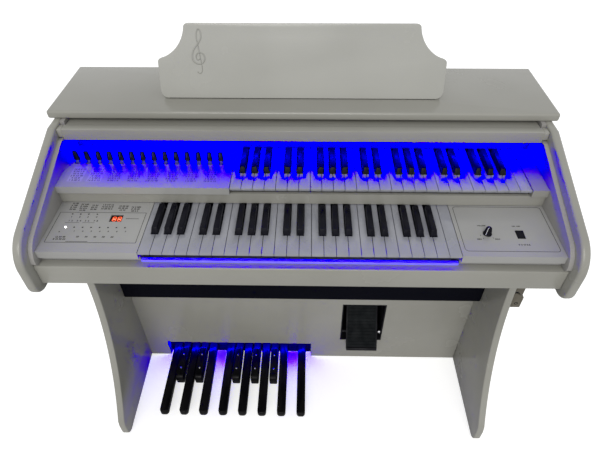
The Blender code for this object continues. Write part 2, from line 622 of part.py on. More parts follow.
def build_small_controls():
    """Display window, volume knob on its shaft, and the rocker switch."""
    w, d = DISPLAY_SIZE[0] / 2, DISPLAY_SIZE[1] / 2
    shape = block(DISPLAY_X - w, DISPLAY_X + w, DISPLAY_Y - d, DISPLAY_Y + d,
                  PANEL_TOP - 0.003 + GAP, PANEL_TOP - 0.0006)
    finish("display_window", shape, RED_WINDOW)
    pivot = (KNOB_X, KNOB_Y, PANEL_TOP)
    foot = PANEL_TOP + GAP
    shape = round_rod((KNOB_X, KNOB_Y), KNOB_RADIUS, foot, foot + 0.003, "z", 24)
    knob = finish("volume_knob", shape, BLACK_PAINT, pivot)
    grip = arc((KNOB_X, KNOB_Y), KNOB_RADIUS * 0.9, KNOB_POINTS - 30.0, KNOB_POINTS - 330.0, 15)
    grip += arc((KNOB_X, KNOB_Y), KNOB_RADIUS * 1.05, KNOB_POINTS + 8.0, KNOB_POINTS - 8.0, 1)
    cone = prism(grip, foot + 0.002, foot + KNOB_HEIGHT, "z")
    shrink = KNOB_TOP_RADIUS / KNOB_RADIUS
    for vert in cone.verts:
        if vert.co.z > foot + 0.003:
            vert.co.x = KNOB_X + (vert.co.x - KNOB_X) * shrink
            vert.co.y = KNOB_Y + (vert.co.y - KNOB_Y) * shrink
    add(knob, cone)
    add(knob, round_rod((KNOB_X, KNOB_Y), SHAFT_RADIUS, PANEL_TOP - 0.012, foot + 0.004, "z", 12))
    pivot = (ROCKER_X, ROCKER_Y, PANEL_TOP - 0.003)
    half = ROCKER_SIZE[1] / 2
    side_view = [(-half, -0.006), (half, -0.006), (half, 0.0045), (0.0, 0.0062), (-half, 0.0045)]
    tilt = math.radians(ROCKER_LEAN)
    outline = [(pivot[1] + y * math.cos(tilt) - z * math.sin(tilt),
                pivot[2] + y * math.sin(tilt) + z * math.cos(tilt)) for y, z in side_view]
    w = ROCKER_SIZE[0] / 2
    finish("power_rocker", prism(outline, ROCKER_X - w, ROCKER_X + w, "x"), BLACK_PAINT, pivot)


def upper_box(x0, x1):
    """Side view of the housings beside the upper manual, with a fascia over the riser."""
    riser_back = RISER_FRONT + RISER_THICK + GAP
    fascia_low = TAB_PANEL_TOP - PANEL_BOARD + 0.0005
    back = NAMEBOARD_FRONT - GAP
    outline = [(TAB_PANEL_FRONT, fascia_low), (riser_back, fascia_low), (riser_back, DECK_TOP + GAP),
               (back, DECK_TOP + GAP), (back, TAB_PANEL_TOP), (TAB_PANEL_FRONT, TAB_PANEL_TOP)]
    return prism(outline, x0, x1, "x")


def build_upper_housings():
    """The tab panel left of the upper manual and the end block right of it."""
    panel = finish("tab_panel", upper_box(-PANEL_OUTER, TAB_PANEL_RIGHT), PANEL_FILM)
    wall = 0.005
    cut(panel, block(-PANEL_OUTER + wall, TAB_PANEL_RIGHT - wall, RISER_FRONT + RISER_THICK + wall,
                     NAMEBOARD_FRONT - GAP - wall, DECK_TOP - 0.01, TAB_PANEL_TOP - PANEL_SKIN))
    holes = bmesh.new()
    for i in range(TAB_COUNT):
        x = TAB_FIRST_X + i * TAB_PITCH
        w, d = TAB_WIDTH / 2 + 0.0007, TAB_THICK / 2 + 0.0035
        block(x - w, x + w, TAB_Y - d, TAB_Y + d, TAB_PANEL_TOP - PANEL_SKIN - 0.003,
              TAB_PANEL_TOP + 0.01, holes)
    cut(panel, holes)
    end_left = PANEL_OUTER - END_BLOCK_WIDTH
    finish("upper_end_block", upper_box(end_left, PANEL_OUTER), LACQUER)


def build_tabs():
    """Two sets of seven voice tabs, each set on one rocking bar below the tab panel."""
    bar_y, bar_z = TAB_Y, DECK_TOP + 0.0065
    bar = 0.004
    lean = math.radians(TAB_LEAN)
    height = TAB_PANEL_TOP + TAB_RISE - bar_z
    half = TAB_THICK / 2
    side_view = [(-half, 0.0), (half, 0.0), (half, height - 0.004), (half - 0.002, height),
                 (-half + 0.001, height), (-half, height - 0.001)]
    turned = [(bar_y + y * math.cos(lean) + z * math.sin(lean),
               bar_z - y * math.sin(lean) + z * math.cos(lean)) for y, z in side_view]
    per_set = TAB_COUNT // 2
    for number in (1, 2):
        first = (number - 1) * per_set
        x0 = TAB_FIRST_X + first * TAB_PITCH - TAB_WIDTH / 2
        x1 = TAB_FIRST_X + (first + per_set - 1) * TAB_PITCH + TAB_WIDTH / 2
        pivot = ((x0 + x1) / 2, bar_y, bar_z)
        shape = round_rod((bar_y, bar_z), bar, x0, x1, "x", 12)
        tabs = finish(f"voice_tabs_{number}", shape, BLACK_KEY, pivot)
        levers = bmesh.new()
        for i in range(first, first + per_set):
            x = TAB_FIRST_X + i * TAB_PITCH
            prism(turned, x - TAB_WIDTH / 2, x + TAB_WIDTH / 2, "x", levers)
        add(tabs, levers)


def build_cover():
    """The sliding cover: a front bar over the liners, a board between them, and its guide rod."""
    ledge = LEDGE_Z + GAP
    bar_low, bar_high = ledge - BAR_DROP, ledge + BAR_HEIGHT
    bar_back = COVER_FRONT + BAR_DEPTH
    board_high = bar_high - BOARD_STEP
    board_low = board_high - BOARD_THICK
    bead = ROD_RADIUS + 0.0028
    bead_points = arc((ROD_Y, ROD_Z), bead, -145.0, 145.0, 12)
    outline = [(COVER_FRONT, bar_low), (bar_back, bar_low), (bar_back, board_low)] + bead_points
    outline += [(bar_back, board_high), (bar_back, bar_high), (COVER_FRONT, bar_high)]
    reach = HALF_INNER - GAP - 0.0002
    pivot = (0.0, ROD_Y, ROD_Z)
    cover = finish("key_cover", prism(outline, -reach, reach, "x"), LACQUER, pivot)
    trim = HALF_LINER - COVER_CLEAR
    waste, wedges = bmesh.new(), bmesh.new()
    for side in (-1, 1):
        inner, outer = side * trim, side * (reach + 0.01)
        block(min(inner, outer), max(inner, outer), bar_back - 0.0001, ROD_Y + 0.02,
              bar_low - 0.01, LID_UNDER + 0.01, waste)
        ends = side * (HALF_LINER - 0.001)
        wedge = [(COVER_FRONT - 0.001, bar_low - 0.005), (COVER_FRONT - 0.001, ledge + BAR_RELIEF[0]),
                 (COVER_FRONT, ledge + BAR_RELIEF[0]), (bar_back, ledge + BAR_RELIEF[1]),
                 (bar_back + 0.001, ledge + BAR_RELIEF[1]), (bar_back + 0.001, bar_low - 0.005)]
        prism(wedge, min(ends, outer), max(ends, outer), "x", wedges)
    cut(cover, waste)
    cut(cover, wedges)
    cut(cover, round_rod((ROD_Y, ROD_Z), ROD_RADIUS + GAP, -FAR, FAR, "x", 16))
    half_rod = HALF_LINER + ROD_ENTRY
    shape = round_rod((ROD_Y, ROD_Z), ROD_RADIUS, -half_rod, half_rod, "x", 16)
    shade(finish("cover_guide_rod", shape, STEEL, pivot))


def leg_outline():
    """Side view of a leg: upright above, flaring forward to a blunt toe."""
    centre = (LEG_TOP_Y - LEG_RADIUS, LEG_BEND_Z)
    sweep = math.degrees(math.asin((LEG_BEND_Z - TOE_Z) / LEG_RADIUS))
    flare = arc(centre, LEG_RADIUS, 0.0, -sweep, 10)
    toe_y = flare[-1][0] - 0.004
    toe = [(toe_y, TOE_Z - 0.020)] + arc((toe_y + TOE_RADIUS, TOE_RADIUS), TOE_RADIUS, 180.0, 270.0, 4)
    top = BED_UNDER - GAP
    return [(LEG_TOP_Y, top)] + flare + toe + [(LEG_BACK, 0.0), (LEG_BACK, top)]


def build_stand():
    """The two legs, the knee panel with its openings, and the cloth-covered baffle."""
    for name, side in (("left_leg", -1), ("right_leg", 1)):
        inner, outer = side * LEG_INNER, side * (LEG_INNER + LEG_THICK)
        shape = prism(leg_outline(), min(inner, outer), max(inner, outer), "x")
        shade(ease_edges(finish(name, shape, LACQUER), 0.002))
    x = LEG_INNER - GAP
    shape = block(-x, x, KNEE_Y, KNEE_Y + KNEE_THICK, 0.0, BED_UNDER - GAP)
    knee = finish("knee_panel", shape, LACQUER)
    slot0, slot1 = slot_sides()
    holes = block(slot0, slot1, KNEE_Y - 0.01, KNEE_Y + 0.03, -0.01, SLOT_HEIGHT)
    w = SWELL_HOLE[0] / 2
    block(SWELL_X - w, SWELL_X + w, KNEE_Y - 0.01, KNEE_Y + 0.03, SWELL_HOLE_UNDER,
          SWELL_HOLE_UNDER + SWELL_HOLE[1], holes)
    cut(knee, holes)
    shape = block(-x, x, BAFFLE_Y, BAFFLE_Y + BAFFLE_THICK, BAFFLE_UNDER, BED_UNDER - GAP)
    ease_edges(finish("speaker_baffle", shape, BAFFLE_CLOTH), 0.003)


def slot_sides():
    """Left and right side of the pedal slot, set by the outer pedals."""
    last = PEDAL_FIRST_X + 7 * PEDAL_PITCH
    reach = PEDAL_WIDTH / 2 + SLOT_MARGIN
    return PEDAL_FIRST_X - reach, last + reach


def pedal_places():
    """Name, middle and kind of the pedals from C to C."""
    naturals = "c d e f g a b c_high".split()
    places = []
    for i, note in enumerate(naturals):
        places.append((f"pedal_{note}", PEDAL_FIRST_X + i * PEDAL_PITCH, False))
        if note in "cdfga":
            places.append((f"pedal_{note}_sharp", PEDAL_FIRST_X + (i + 0.5) * PEDAL_PITCH, True))
    return places


def build_pedals():
    """Eight natural and five sharp pedals, each a lever held at its back end."""
    low = PEDAL_TOP - PEDAL_BODY
    for name, x, is_sharp in pedal_places():
        pivot = (x, PEDAL_PIVOT, low)
        if is_sharp:
            half = SHARP_PEDAL_WIDTH / 2
            cap = PEDAL_TOP + SHARP_PEDAL_RISE
            outline = [(SHARP_PEDAL_FRONT + 0.003, low), (PEDAL_PIVOT, low), (PEDAL_PIVOT, PEDAL_TOP),
                       (SHARP_PEDAL_BACK + 0.004, PEDAL_TOP), (SHARP_PEDAL_BACK - 0.004, cap - 0.003),
                       (SHARP_PEDAL_BACK - 0.010, cap), (SHARP_PEDAL_FRONT + 0.012, cap),
                       (SHARP_PEDAL_FRONT + 0.004, cap - 0.003), (SHARP_PEDAL_FRONT, cap - 0.012)]
            shape = prism(outline, x - half, x + half, "x")
        else:
            half = PEDAL_WIDTH / 2
            nose = PEDAL_NOSE
            front = arc((x - half + nose, PEDAL_FRONT + nose), nose, 180.0, 270.0, 4)
            front += arc((x + half - nose, PEDAL_FRONT + nose), nose, 270.0, 360.0, 4)
            shape = prism(front + [(x + half, PEDAL_PIVOT), (x - half, PEDAL_PIVOT)], low, PEDAL_TOP, "z")
        shade(ease_edges(finish(name, shape, BLACK_PAINT, pivot), 0.0025))


def build_pedal_frame():
    """The floor frame behind the knee panel: a guide wall with a window for each pedal."""
    slot0, slot1 = slot_sides()
    front = KNEE_Y + KNEE_THICK + GAP
    back = PEDAL_PIVOT + GAP
    low = PEDAL_TOP - PEDAL_BODY
    outline = [(front, 0.0), (back + FRAME_WALL, 0.0), (back + FRAME_WALL, PEDAL_TOP),
               (back, PEDAL_TOP), (back, FRAME_BASE), (front + FRAME_WALL, FRAME_BASE),
               (front + FRAME_WALL, FRAME_TOP), (front, FRAME_TOP)]
    frame = finish("pedal_frame", prism(outline, slot0 - FRAME_END, slot1 + FRAME_END, "x"), BLACK_PAINT)
    windows = bmesh.new()
    for _, x, is_sharp in pedal_places():
        half = (SHARP_PEDAL_WIDTH if is_sharp else PEDAL_WIDTH) / 2 + PEDAL_SIDE_CLEAR
        block(x - half, x + half, front - 0.01, front + FRAME_WALL + 0.01,
              min(WINDOW_UNDER, low - 0.007), PEDAL_TOP + GAP, windows)
    cut(frame, windows)


def build_swell():
    """The swell pedal: a tray in the knee panel with a cross pin, and the tilting plate on it."""
    w, d = SWELL_HOLE[0] / 2 - GAP, SWELL_BOX_DEPTH
    low, high = SWELL_HOLE_UNDER + GAP, SWELL_HOLE_UNDER + SWELL_HOLE[1] - GAP
    front = KNEE_Y + 0.0005
    tray = finish("swell_tray", block(SWELL_X - w, SWELL_X + w, front, front + d, low, high), BLACK_PAINT)
    t = SWELL_BOX_WALL
    cut(tray, block(SWELL_X - w + t, SWELL_X + w - t, front - 0.01, front + d - t, low + t, high - t))
    add(tray, round_rod(SWELL_PIVOT, SWELL_PIN_RADIUS, SWELL_X - w + t / 2, SWELL_X + w - t / 2, "x", 12))
    tilt = math.radians(SWELL_TILT)
    along, up = (math.cos(tilt), math.sin(tilt)), (-math.sin(tilt), math.cos(tilt))

    def on_plate(s, h):
        return (SWELL_HEEL[0] + along[0] * s + up[0] * h, SWELL_HEEL[1] + along[1] * s + up[1] * h)

    outline = [on_plate(0.0, -SWELL_PLATE), on_plate(SWELL_LENGTH, -SWELL_PLATE),
               on_plate(SWELL_LENGTH, -0.002), on_plate(SWELL_LENGTH - 0.002, 0.0),
               on_plate(0.012, 0.0), on_plate(0.004, 0.004), on_plate(0.0, 0.004)]
    half = SWELL_WIDTH / 2
    pivot = (SWELL_X, *SWELL_PIVOT)
    plate = finish("swell_pedal", prism(outline, SWELL_X - half, SWELL_X + half, "x"), BLACK_PAINT, pivot)
    reach = SWELL_PIN_RADIUS + 0.004
    foot = arc(SWELL_PIVOT, reach, SWELL_TILT + 200.0, SWELL_TILT + 340.0, 6)
    ear = [on_plate(0.105, -SWELL_PLATE + 0.001), on_plate(0.020, -SWELL_PLATE + 0.001)] + foot
    half = SWELL_EAR / 2
    add(plate, prism(ear, SWELL_X - half, SWELL_X + half, "x"))
    cut(plate, round_rod(SWELL_PIVOT, SWELL_PIN_RADIUS + GAP, SWELL_X - SWELL_WIDTH,
                         SWELL_X + SWELL_WIDTH, "x", 12))


def build_jack_box():
    """The small box outside the right leg: two blocks with a slanting joint between them."""
    x = LEG_INNER + LEG_THICK + GAP
    top = JACK_UNDER + JACK_HEIGHT
    inner, outer = JACK_UNDER + JACK_SEAM[0], JACK_UNDER + JACK_SEAM[1]
    outline = [(x, JACK_UNDER), (x + JACK_WIDTHS[0], JACK_UNDER), (x + JACK_WIDTHS[0], outer),
               (x + JACK_NECK, inner), (x + JACK_NECK, inner + JACK_JOINT),
               (x + JACK_WIDTHS[1], outer + JACK_JOINT), (x + JACK_WIDTHS[1], top), (x, top)]
    shape = prism(outline, JACK_FRONT, JACK_FRONT + JACK_DEPTH, "y")
    ease_edges(finish("jack_box", shape, TAN_WOOD), 0.002)


def build_light_strips():
    """The blue light strips: over the upper manual, under the lower keys and over the pedals."""
    inside = HALF_LINER - 0.008
    top = UPPER_TOP + 0.0015 + NAMEBOARD_HEIGHT - 0.001
    back = NAMEBOARD_FRONT - GAP
    finish("upper_light_strip", block(-inside, inside, back - STRIP_DEPTH, back, top - STRIP_HEIGHT, top),
           LIGHT_STRIP)
    span = MANUAL_WIDTH / 2 - 0.002
    strip_low = RAIL_TOP + GAP
    strip_back = LIP_REACH - 0.001
    finish("lower_light_strip", block(LOWER_CENTRE - span, LOWER_CENTRE + span, strip_back - STRIP_DEPTH,
                                      strip_back, strip_low, strip_low + STRIP_HEIGHT), LIGHT_STRIP)
    slot0, slot1 = slot_sides()
    strip_front = KNEE_Y + 0.003
    finish("pedal_light_strip", block(slot0 + 0.004, slot1 - 0.004, strip_front, strip_front + STRIP_DEPTH,
                                      SLOT_HEIGHT - GAP - 0.003, SLOT_HEIGHT - GAP), LIGHT_STRIP)


build_cheeks()
build_liners()
build_lid()
build_desk()
build_case_boards()
build_upper_deck()
build_manuals()
build_lower_panels()
build_small_controls()
build_upper_housings()
build_tabs()
build_cover()
build_stand()
build_pedals()
build_pedal_frame()
build_swell()
build_jack_box()
build_light_strips()
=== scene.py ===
import json
import math

import bmesh
import bpy
from mathutils import Matrix, Vector

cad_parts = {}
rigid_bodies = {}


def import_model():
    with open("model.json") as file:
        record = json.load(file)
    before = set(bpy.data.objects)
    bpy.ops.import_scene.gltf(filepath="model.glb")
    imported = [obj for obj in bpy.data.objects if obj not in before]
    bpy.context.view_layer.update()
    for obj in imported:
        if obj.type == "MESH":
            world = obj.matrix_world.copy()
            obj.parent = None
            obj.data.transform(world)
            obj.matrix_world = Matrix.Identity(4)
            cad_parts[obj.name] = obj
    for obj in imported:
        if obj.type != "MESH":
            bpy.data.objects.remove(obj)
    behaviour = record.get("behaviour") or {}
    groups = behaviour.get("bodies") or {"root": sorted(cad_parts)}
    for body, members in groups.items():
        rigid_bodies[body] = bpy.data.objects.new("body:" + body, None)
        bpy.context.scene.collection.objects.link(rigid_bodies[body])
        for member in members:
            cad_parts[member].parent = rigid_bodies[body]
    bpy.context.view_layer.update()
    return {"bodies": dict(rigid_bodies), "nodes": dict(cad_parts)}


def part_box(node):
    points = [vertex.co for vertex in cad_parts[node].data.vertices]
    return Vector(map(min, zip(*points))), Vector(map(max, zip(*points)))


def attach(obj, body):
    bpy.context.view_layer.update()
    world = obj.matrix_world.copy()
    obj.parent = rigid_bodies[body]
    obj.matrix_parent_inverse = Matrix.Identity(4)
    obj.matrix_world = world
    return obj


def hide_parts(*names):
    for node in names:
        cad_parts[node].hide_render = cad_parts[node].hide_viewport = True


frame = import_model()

# Side boards. Two cheeks of 18 mm board, cut to a sloping front with a round nose and sprayed
# off-white, and a thinner liner inside each one that carries the cover. Lengths are metres,
# and KEY_Y takes a distance behind the lower keys' front line into the organ's own frame.
KEY_Y = 0.224
CHEEK_EDGE = 0.0055
CHEEK_SLOPE = 0.35
NOSE_RADIUS = 0.070
NOSE_FOOT = 0.031
FLAT_TOP_FRONT = 0.238 - KEY_Y
LID_GAP = 0.0003
LACQUER_DARK = (0.285, 0.280, 0.250)
LACQUER_LIGHT = (0.325, 0.320, 0.290)
LINER_DARK = (0.315, 0.305, 0.295)
LINER_LIGHT = (0.355, 0.345, 0.335)


def start_finish(name, roughness, metallic=0.0, coat=0.0, coat_roughness=0.03, specular=0.5):
    """A new finish. Returns it with its node tree and its shader."""
    finish = bpy.data.materials.new(name)
    finish.use_nodes = True
    tree = finish.node_tree
    shader = tree.nodes["Principled BSDF"]
    shader.inputs["Roughness"].default_value = roughness
    shader.inputs["Metallic"].default_value = metallic
    shader.inputs["Coat Weight"].default_value = coat
    shader.inputs["Coat Roughness"].default_value = coat_roughness
    shader.inputs["Specular IOR Level"].default_value = specular
    return finish, tree, shader


def noise(tree, scale, detail=4.0, stretch=(1.0, 1.0, 1.0)):
    """Noise in the organ's own metres, stretched where the surface has a direction."""
    where = tree.nodes.new("ShaderNodeTexCoord")
    turn = tree.nodes.new("ShaderNodeMapping")
    turn.inputs["Scale"].default_value = stretch
    cloud = tree.nodes.new("ShaderNodeTexNoise")
    cloud.inputs["Scale"].default_value = scale
    cloud.inputs["Detail"].default_value = detail
    tree.links.new(where.outputs["Object"], turn.inputs["Vector"])
    tree.links.new(turn.outputs["Vector"], cloud.inputs["Vector"])
    return cloud.outputs["Fac"]


def respread(tree, factor, low, high, least=0.0, most=1.0):
    """Stretches the part of a noise between two levels over a new range."""
    spread = tree.nodes.new("ShaderNodeMapRange")
    spread.inputs["From Min"].default_value = low
    spread.inputs["From Max"].default_value = high
    spread.inputs["To Min"].default_value = least
    spread.inputs["To Max"].default_value = most
    tree.links.new(factor, spread.inputs["Value"])
    return spread.outputs["Result"]


def tone(tree, shader, factor, dark, light, low=0.35, high=0.65):
    """Base colour that drifts between two tones."""
    share = respread(tree, factor, low, high)
    mix = tree.nodes.new("ShaderNodeMix")
    mix.data_type = "RGBA"
    mix.inputs["A"].default_value = (*dark, 1.0)
    mix.inputs["B"].default_value = (*light, 1.0)
    tree.links.new(share, mix.inputs["Factor"])
    tree.links.new(mix.outputs["Result"], shader.inputs["Base Color"])


def relief(tree, shader, factor, height, strength):
    """Fine surface relief, with its height in metres."""
    bump = tree.nodes.new("ShaderNodeBump")
    bump.inputs["Distance"].default_value = height
    bump.inputs["Strength"].default_value = strength
    tree.links.new(factor, bump.inputs["Height"])
    tree.links.new(bump.outputs["Normal"], shader.inputs["Normal"])


def drifting(name, roughness, grain, dark, light, gloss=None, bump=None, levels=(0.35, 0.65), **shine):
    """A finish whose tone drifts, and where given its gloss and relief. Each leads with its noise."""
    finish, tree, shader = start_finish(name, roughness, **shine)
    tone(tree, shader, noise(tree, *grain), dark, light, *levels)
    if gloss:
        cloud, smooth, rough = gloss
        drift = respread(tree, noise(tree, *cloud), 0.35, 0.65, smooth, rough)
        tree.links.new(drift, shader.inputs["Roughness"])
    if bump:
        cloud, height, strength = bump
        relief(tree, shader, noise(tree, *cloud), height, strength)
    return finish


def sprayed_lacquer(name, dark, light):
    """Sprayed lacquer on board: slow drift of tone and gloss, and a faint orange peel."""
    return drifting(name, 0.22, (3.2, 3.0), dark, light, ((7.0, 5.0), 0.16, 0.28),
                    ((260.0, 2.0), 0.0002, 0.10), coat=0.15, coat_roughness=0.06, specular=0.35)


def extrude(points, low, high, axis, far_points=None):
    """Extrudes an outline along one axis, to another outline if one is given.

    Outline pairs are the two other axes in order."""
    place = {"x": lambda a, b, d: (d, a, b), "y": lambda a, b, d: (a, d, b),
             "z": lambda a, b, d: (a, b, d)}[axis]
    shape = bmesh.new()
    first = [shape.verts.new(place(a, b, low)) for a, b in points]
    second = [shape.verts.new(place(a, b, high)) for a, b in far_points or points]
    shape.faces.new(first)
    shape.faces.new(list(reversed(second)))
    for i in range(len(points)):
        j = (i + 1) % len(points)
        shape.faces.new((first[i], second[i], second[j], first[j]))
    bmesh.ops.recalc_face_normals(shape, faces=shape.faces)
    return shape


def round_edges(shape, radius, steps=3, turn=35.0):
    """Rounds every edge that turns more than the given angle."""
    sharp = [edge for edge in shape.edges if edge.calc_face_angle(0.0) > math.radians(turn)]
    bmesh.ops.bevel(shape, geom=sharp, offset=radius, segments=steps, profile=0.5, affect="EDGES",
                    clamp_overlap=True)
    return shape


def stand(name, data):
    """Puts a mesh, a lamp or a camera into the scene."""
    thing = bpy.data.objects.new(name, data)
    bpy.context.scene.collection.objects.link(thing)
    return thing


def make_piece(name, shape, finish, body, replaced=(), smooth=40.0):
    """Turns a shape into a piece that rides on a body and stands for CAD nodes."""
    mesh = bpy.data.meshes.new(name)
    shape.to_mesh(mesh)
    shape.free()
    mesh.materials.append(finish)
    mesh.shade_smooth()
    mesh.set_sharp_from_angle(angle=math.radians(smooth))
    piece = stand(name, mesh)
    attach(piece, body)
    if replaced:
        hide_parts(*replaced)


def dress(finish, *names):
    """Gives CAD pieces that stay as they are their finish."""
    for name in names:
        frame["nodes"][name].data.materials[0] = finish


def bow(centre, radius, start, end, steps):
    """Points on an arc, angles in degrees."""
    turns = [math.radians(start + (end - start) * i / steps) for i in range(steps + 1)]
    return [(centre[0] + radius * math.cos(a), centre[1] + radius * math.sin(a)) for a in turns]


def sloping_front(low, high):
    """The side boards' front line, from the lid down to the end of the nose."""
    angle = math.atan(CHEEK_SLOPE)
    drop = NOSE_RADIUS * math.tan((math.pi / 2 - angle) / 2)
    nose_top = high.z + LID_GAP - CHEEK_SLOPE * (FLAT_TOP_FRONT - low.y)
    centre = (low.y + NOSE_RADIUS, nose_top - drop)
    start = (FLAT_TOP_FRONT - LID_GAP / CHEEK_SLOPE, high.z)
    return [start] + bow(centre, NOSE_RADIUS, 90.0 + math.degrees(angle), 180.0, 20)


white_lacquer = sprayed_lacquer("white_lacquer_sprayed", LACQUER_DARK, LACQUER_LIGHT)
liner_lacquer = sprayed_lacquer("liner_lacquer_sprayed", LINER_DARK, LINER_LIGHT)
for side in ("left", "right"):
    low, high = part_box(side + "_cheek")
    outline = sloping_front(low, high)
    outline += bow((low.y + NOSE_FOOT, low.z + NOSE_FOOT), NOSE_FOOT, 180.0, 270.0, 10)
    outline += [(high.y, low.z), (high.y, high.z)]
    cheek = round_edges(extrude(outline, low.x, high.x, "x"), CHEEK_EDGE, 4, 50.0)
    make_piece(side + "_cheek_board", cheek, white_lacquer, "console", [side + "_cheek"])
    dress(liner_lacquer, side + "_liner")

# Top and case boards. The lid has a bullnose all round, and the front rail, the key bed and
# the nameboard are plain lacquered boards. The back is raw hardboard pinned on.
LID_ROUND = 0.0080
LID_CORNER = 0.005
RAIL_ROUND = 0.0018
HARDBOARD_DARK = (0.17, 0.11, 0.065)
HARDBOARD_LIGHT = (0.26, 0.18, 0.11)


def square(a0, a1, b0, b1):
    """A rectangle's outline, from the low corner along its first side."""
    return [(a0, b0), (a1, b0), (a1, b1), (a0, b1)]


def rounded_plan(x0, x1, y0, y1, corner, steps, inset=0.0):
    """A rectangle with rounded corners, or the line that runs a given way inside it."""
    plan = []
    for x, y, start in ((x1 - corner, y0 + corner, -90.0), (x1 - corner, y1 - corner, 0.0),
                        (x0 + corner, y1 - corner, 90.0), (x0 + corner, y0 + corner, 180.0)):
        plan += bow((x, y), corner - inset, start, start + 90.0, steps)
    return plan


low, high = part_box("top_lid")
lid_plan = rounded_plan(low.x, high.x, low.y, high.y, LID_CORNER, 4)
lid = round_edges(extrude(lid_plan, low.z, high.z, "z"), LID_ROUND, 5, 60.0)
make_piece("lid_board", lid, white_lacquer, "console", ["top_lid"])
low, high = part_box("front_rail")
rail = round_edges(extrude(square(low.y, high.y, low.z, high.z), low.x, high.x, "x"), RAIL_ROUND, 3)
make_piece("front_rail_board", rail, white_lacquer, "console", ["front_rail"])
dress(white_lacquer, "keybed", "upper_deck", "upper_end_block")
dress(liner_lacquer, "nameboard")
hardboard = drifting("hardboard_fibres", 0.85, (90.0, 8.0, (1.0, 1.0, 2.5)), HARDBOARD_DARK, HARDBOARD_LIGHT,
                     bump=((700.0, 3.0), 0.0004, 0.5))
dress(hardboard, "back_panel")

# Music desk. One 15 mm board with shaped shoulders that leans back on the lid on two dowels and
# a felt strip, with a treble clef raised at its left end. The board's lacquer is a lighter copy of the
# case lacquer, painted light; the felt's black doubles as painted contact shadow under the foot, and
# the clef's darker copy of the desk lacquer is painted shade of its relief.
DESK_LEAN = 18.0
DESK_FOOT_Y = 0.3275 - KEY_Y
DESK_THICK = 0.015
DESK_HALF = 0.3025
DESK_TALL = 0.152
DESK_CORNER = 0.016
DESK_SHOULDER = 0.0755
DESK_SHOULDER_RADIUS = 0.009
DESK_SWEEP_RADIUS = 0.0735
DESK_SWEEP_CENTRE = (0.0130, 0.0029)
DESK_SWEEP_TURN = (-105.9, -171.1)
DESK_TOP_RADIUS = 0.008
DESK_ROUND = 0.0045
DESK_LIFT = 0.0022
FELT_INSET = 0.0022
FELT_SUNK = 0.001
CLEF_X = -0.2145
CLEF_MIDDLE = 0.0975
CLEF_UNIT = 0.0133
CLEF_LINE = 0.0021
CLEF_RISE = 0.0014
CLEF_BALL = 0.0019
CLEF_PATH = [(0.10, 0.72), (-0.22, 0.55), (-0.45, 0.85), (-0.38, 1.35), (0.10, 1.68), (0.68, 1.45),
             (0.88, 0.82), (0.55, 0.18), (-0.15, -0.02), (-0.88, 0.38), (-1.08, 1.20), (-0.74, 2.15),
             (-0.10, 2.95), (0.42, 3.70), (0.50, 4.55), (0.22, 5.15), (-0.10, 4.80), (-0.22, 4.00),
             (-0.04, 2.70), (0.16, 1.10), (0.34, -0.45), (0.30, -1.15), (-0.02, -1.50), (-0.38, -1.35)]


def leant(place, angle, axis="X"):
    """A place in the organ's frame with a turn about one axis, in degrees."""
    return Matrix.Translation(place) @ Matrix.Rotation(math.radians(angle), 4, axis)


def desk_board_outline():
    """Half of the desk's outline, from the middle of its foot to the middle of its top."""
    points = bow((DESK_HALF - DESK_CORNER, DESK_LIFT + DESK_CORNER), DESK_CORNER, -90.0, 0.0, 8)
    points += bow((DESK_HALF - DESK_SHOULDER_RADIUS, DESK_SHOULDER), DESK_SHOULDER_RADIUS, 0.0, 78.0, 6)
    sweep = bow((DESK_HALF + DESK_SWEEP_CENTRE[0], DESK_TALL + DESK_SWEEP_CENTRE[1]), DESK_SWEEP_RADIUS,
                *DESK_SWEEP_TURN, 20)
    top_centre = (sweep[-1][0] - DESK_TOP_RADIUS, DESK_TALL - DESK_TOP_RADIUS)
    return points + sweep + bow(top_centre, DESK_TOP_RADIUS, 0.0, 90.0, 6)


def smooth_path(points, steps=6):
    """A smooth line through the given points."""
    line = []
    for i in range(len(points) - 1):
        a, b = points[max(i - 1, 0)], points[i]
        c, d = points[i + 1], points[min(i + 2, len(points) - 1)]
        for k in range(steps):
            t = k / steps
            line.append(tuple(0.5 * (2 * q + (r - p) * t + (2 * p - 5 * q + 4 * r - s) * t * t
                                     + (3 * q - p - 3 * r + s) * t ** 3)
                              for p, q, r, s in zip(a, b, c, d)))
    return line + [points[-1]]


def ribbon(points, half_widths, sunk, proud):
    """A narrow raised line on the desk's face, with a ridge along its middle."""
    shape = bmesh.new()
    rows = []
    for i, (x, s) in enumerate(points):
        before, after = points[max(i - 1, 0)], points[min(i + 1, len(points) - 1)]
        dx, ds = after[0] - before[0], after[1] - before[1]
        length = math.hypot(dx, ds) or 1.0
        out, up = -ds / length * half_widths[i], dx / length * half_widths[i]
        rows.append([shape.verts.new((x + out, sunk, s + up)), shape.verts.new((x, -proud, s)),
                     shape.verts.new((x - out, sunk, s - up))])
    for a, b in zip(rows[:-1], rows[1:]):
        for k in range(2):
            shape.faces.new((a[k], a[k + 1], b[k + 1], b[k]))
        shape.faces.new((a[2], a[0], b[0], b[2]))
    shape.faces.new(rows[0])
    shape.faces.new(list(reversed(rows[-1])))
    bmesh.ops.recalc_face_normals(shape, faces=shape.faces)
    return shape


def gather(whole, part):
    """Adds one shape to a piece that is made of several."""
    carrier = bpy.data.meshes.new("carrier")
    part.to_mesh(carrier)
    part.free()
    whole.from_mesh(carrier)
    bpy.data.meshes.remove(carrier)


def dome(whole, place, radius, squash):
    """Adds a flattened ball, such as a lamp's lens or a screw's head, sunk in its surface."""
    ball = bmesh.new()
    bmesh.ops.create_uvsphere(ball, u_segments=16, v_segments=8, radius=radius)
    bmesh.ops.scale(ball, vec=squash, verts=ball.verts)
    bmesh.ops.translate(ball, vec=place, verts=ball.verts)
    gather(whole, ball)


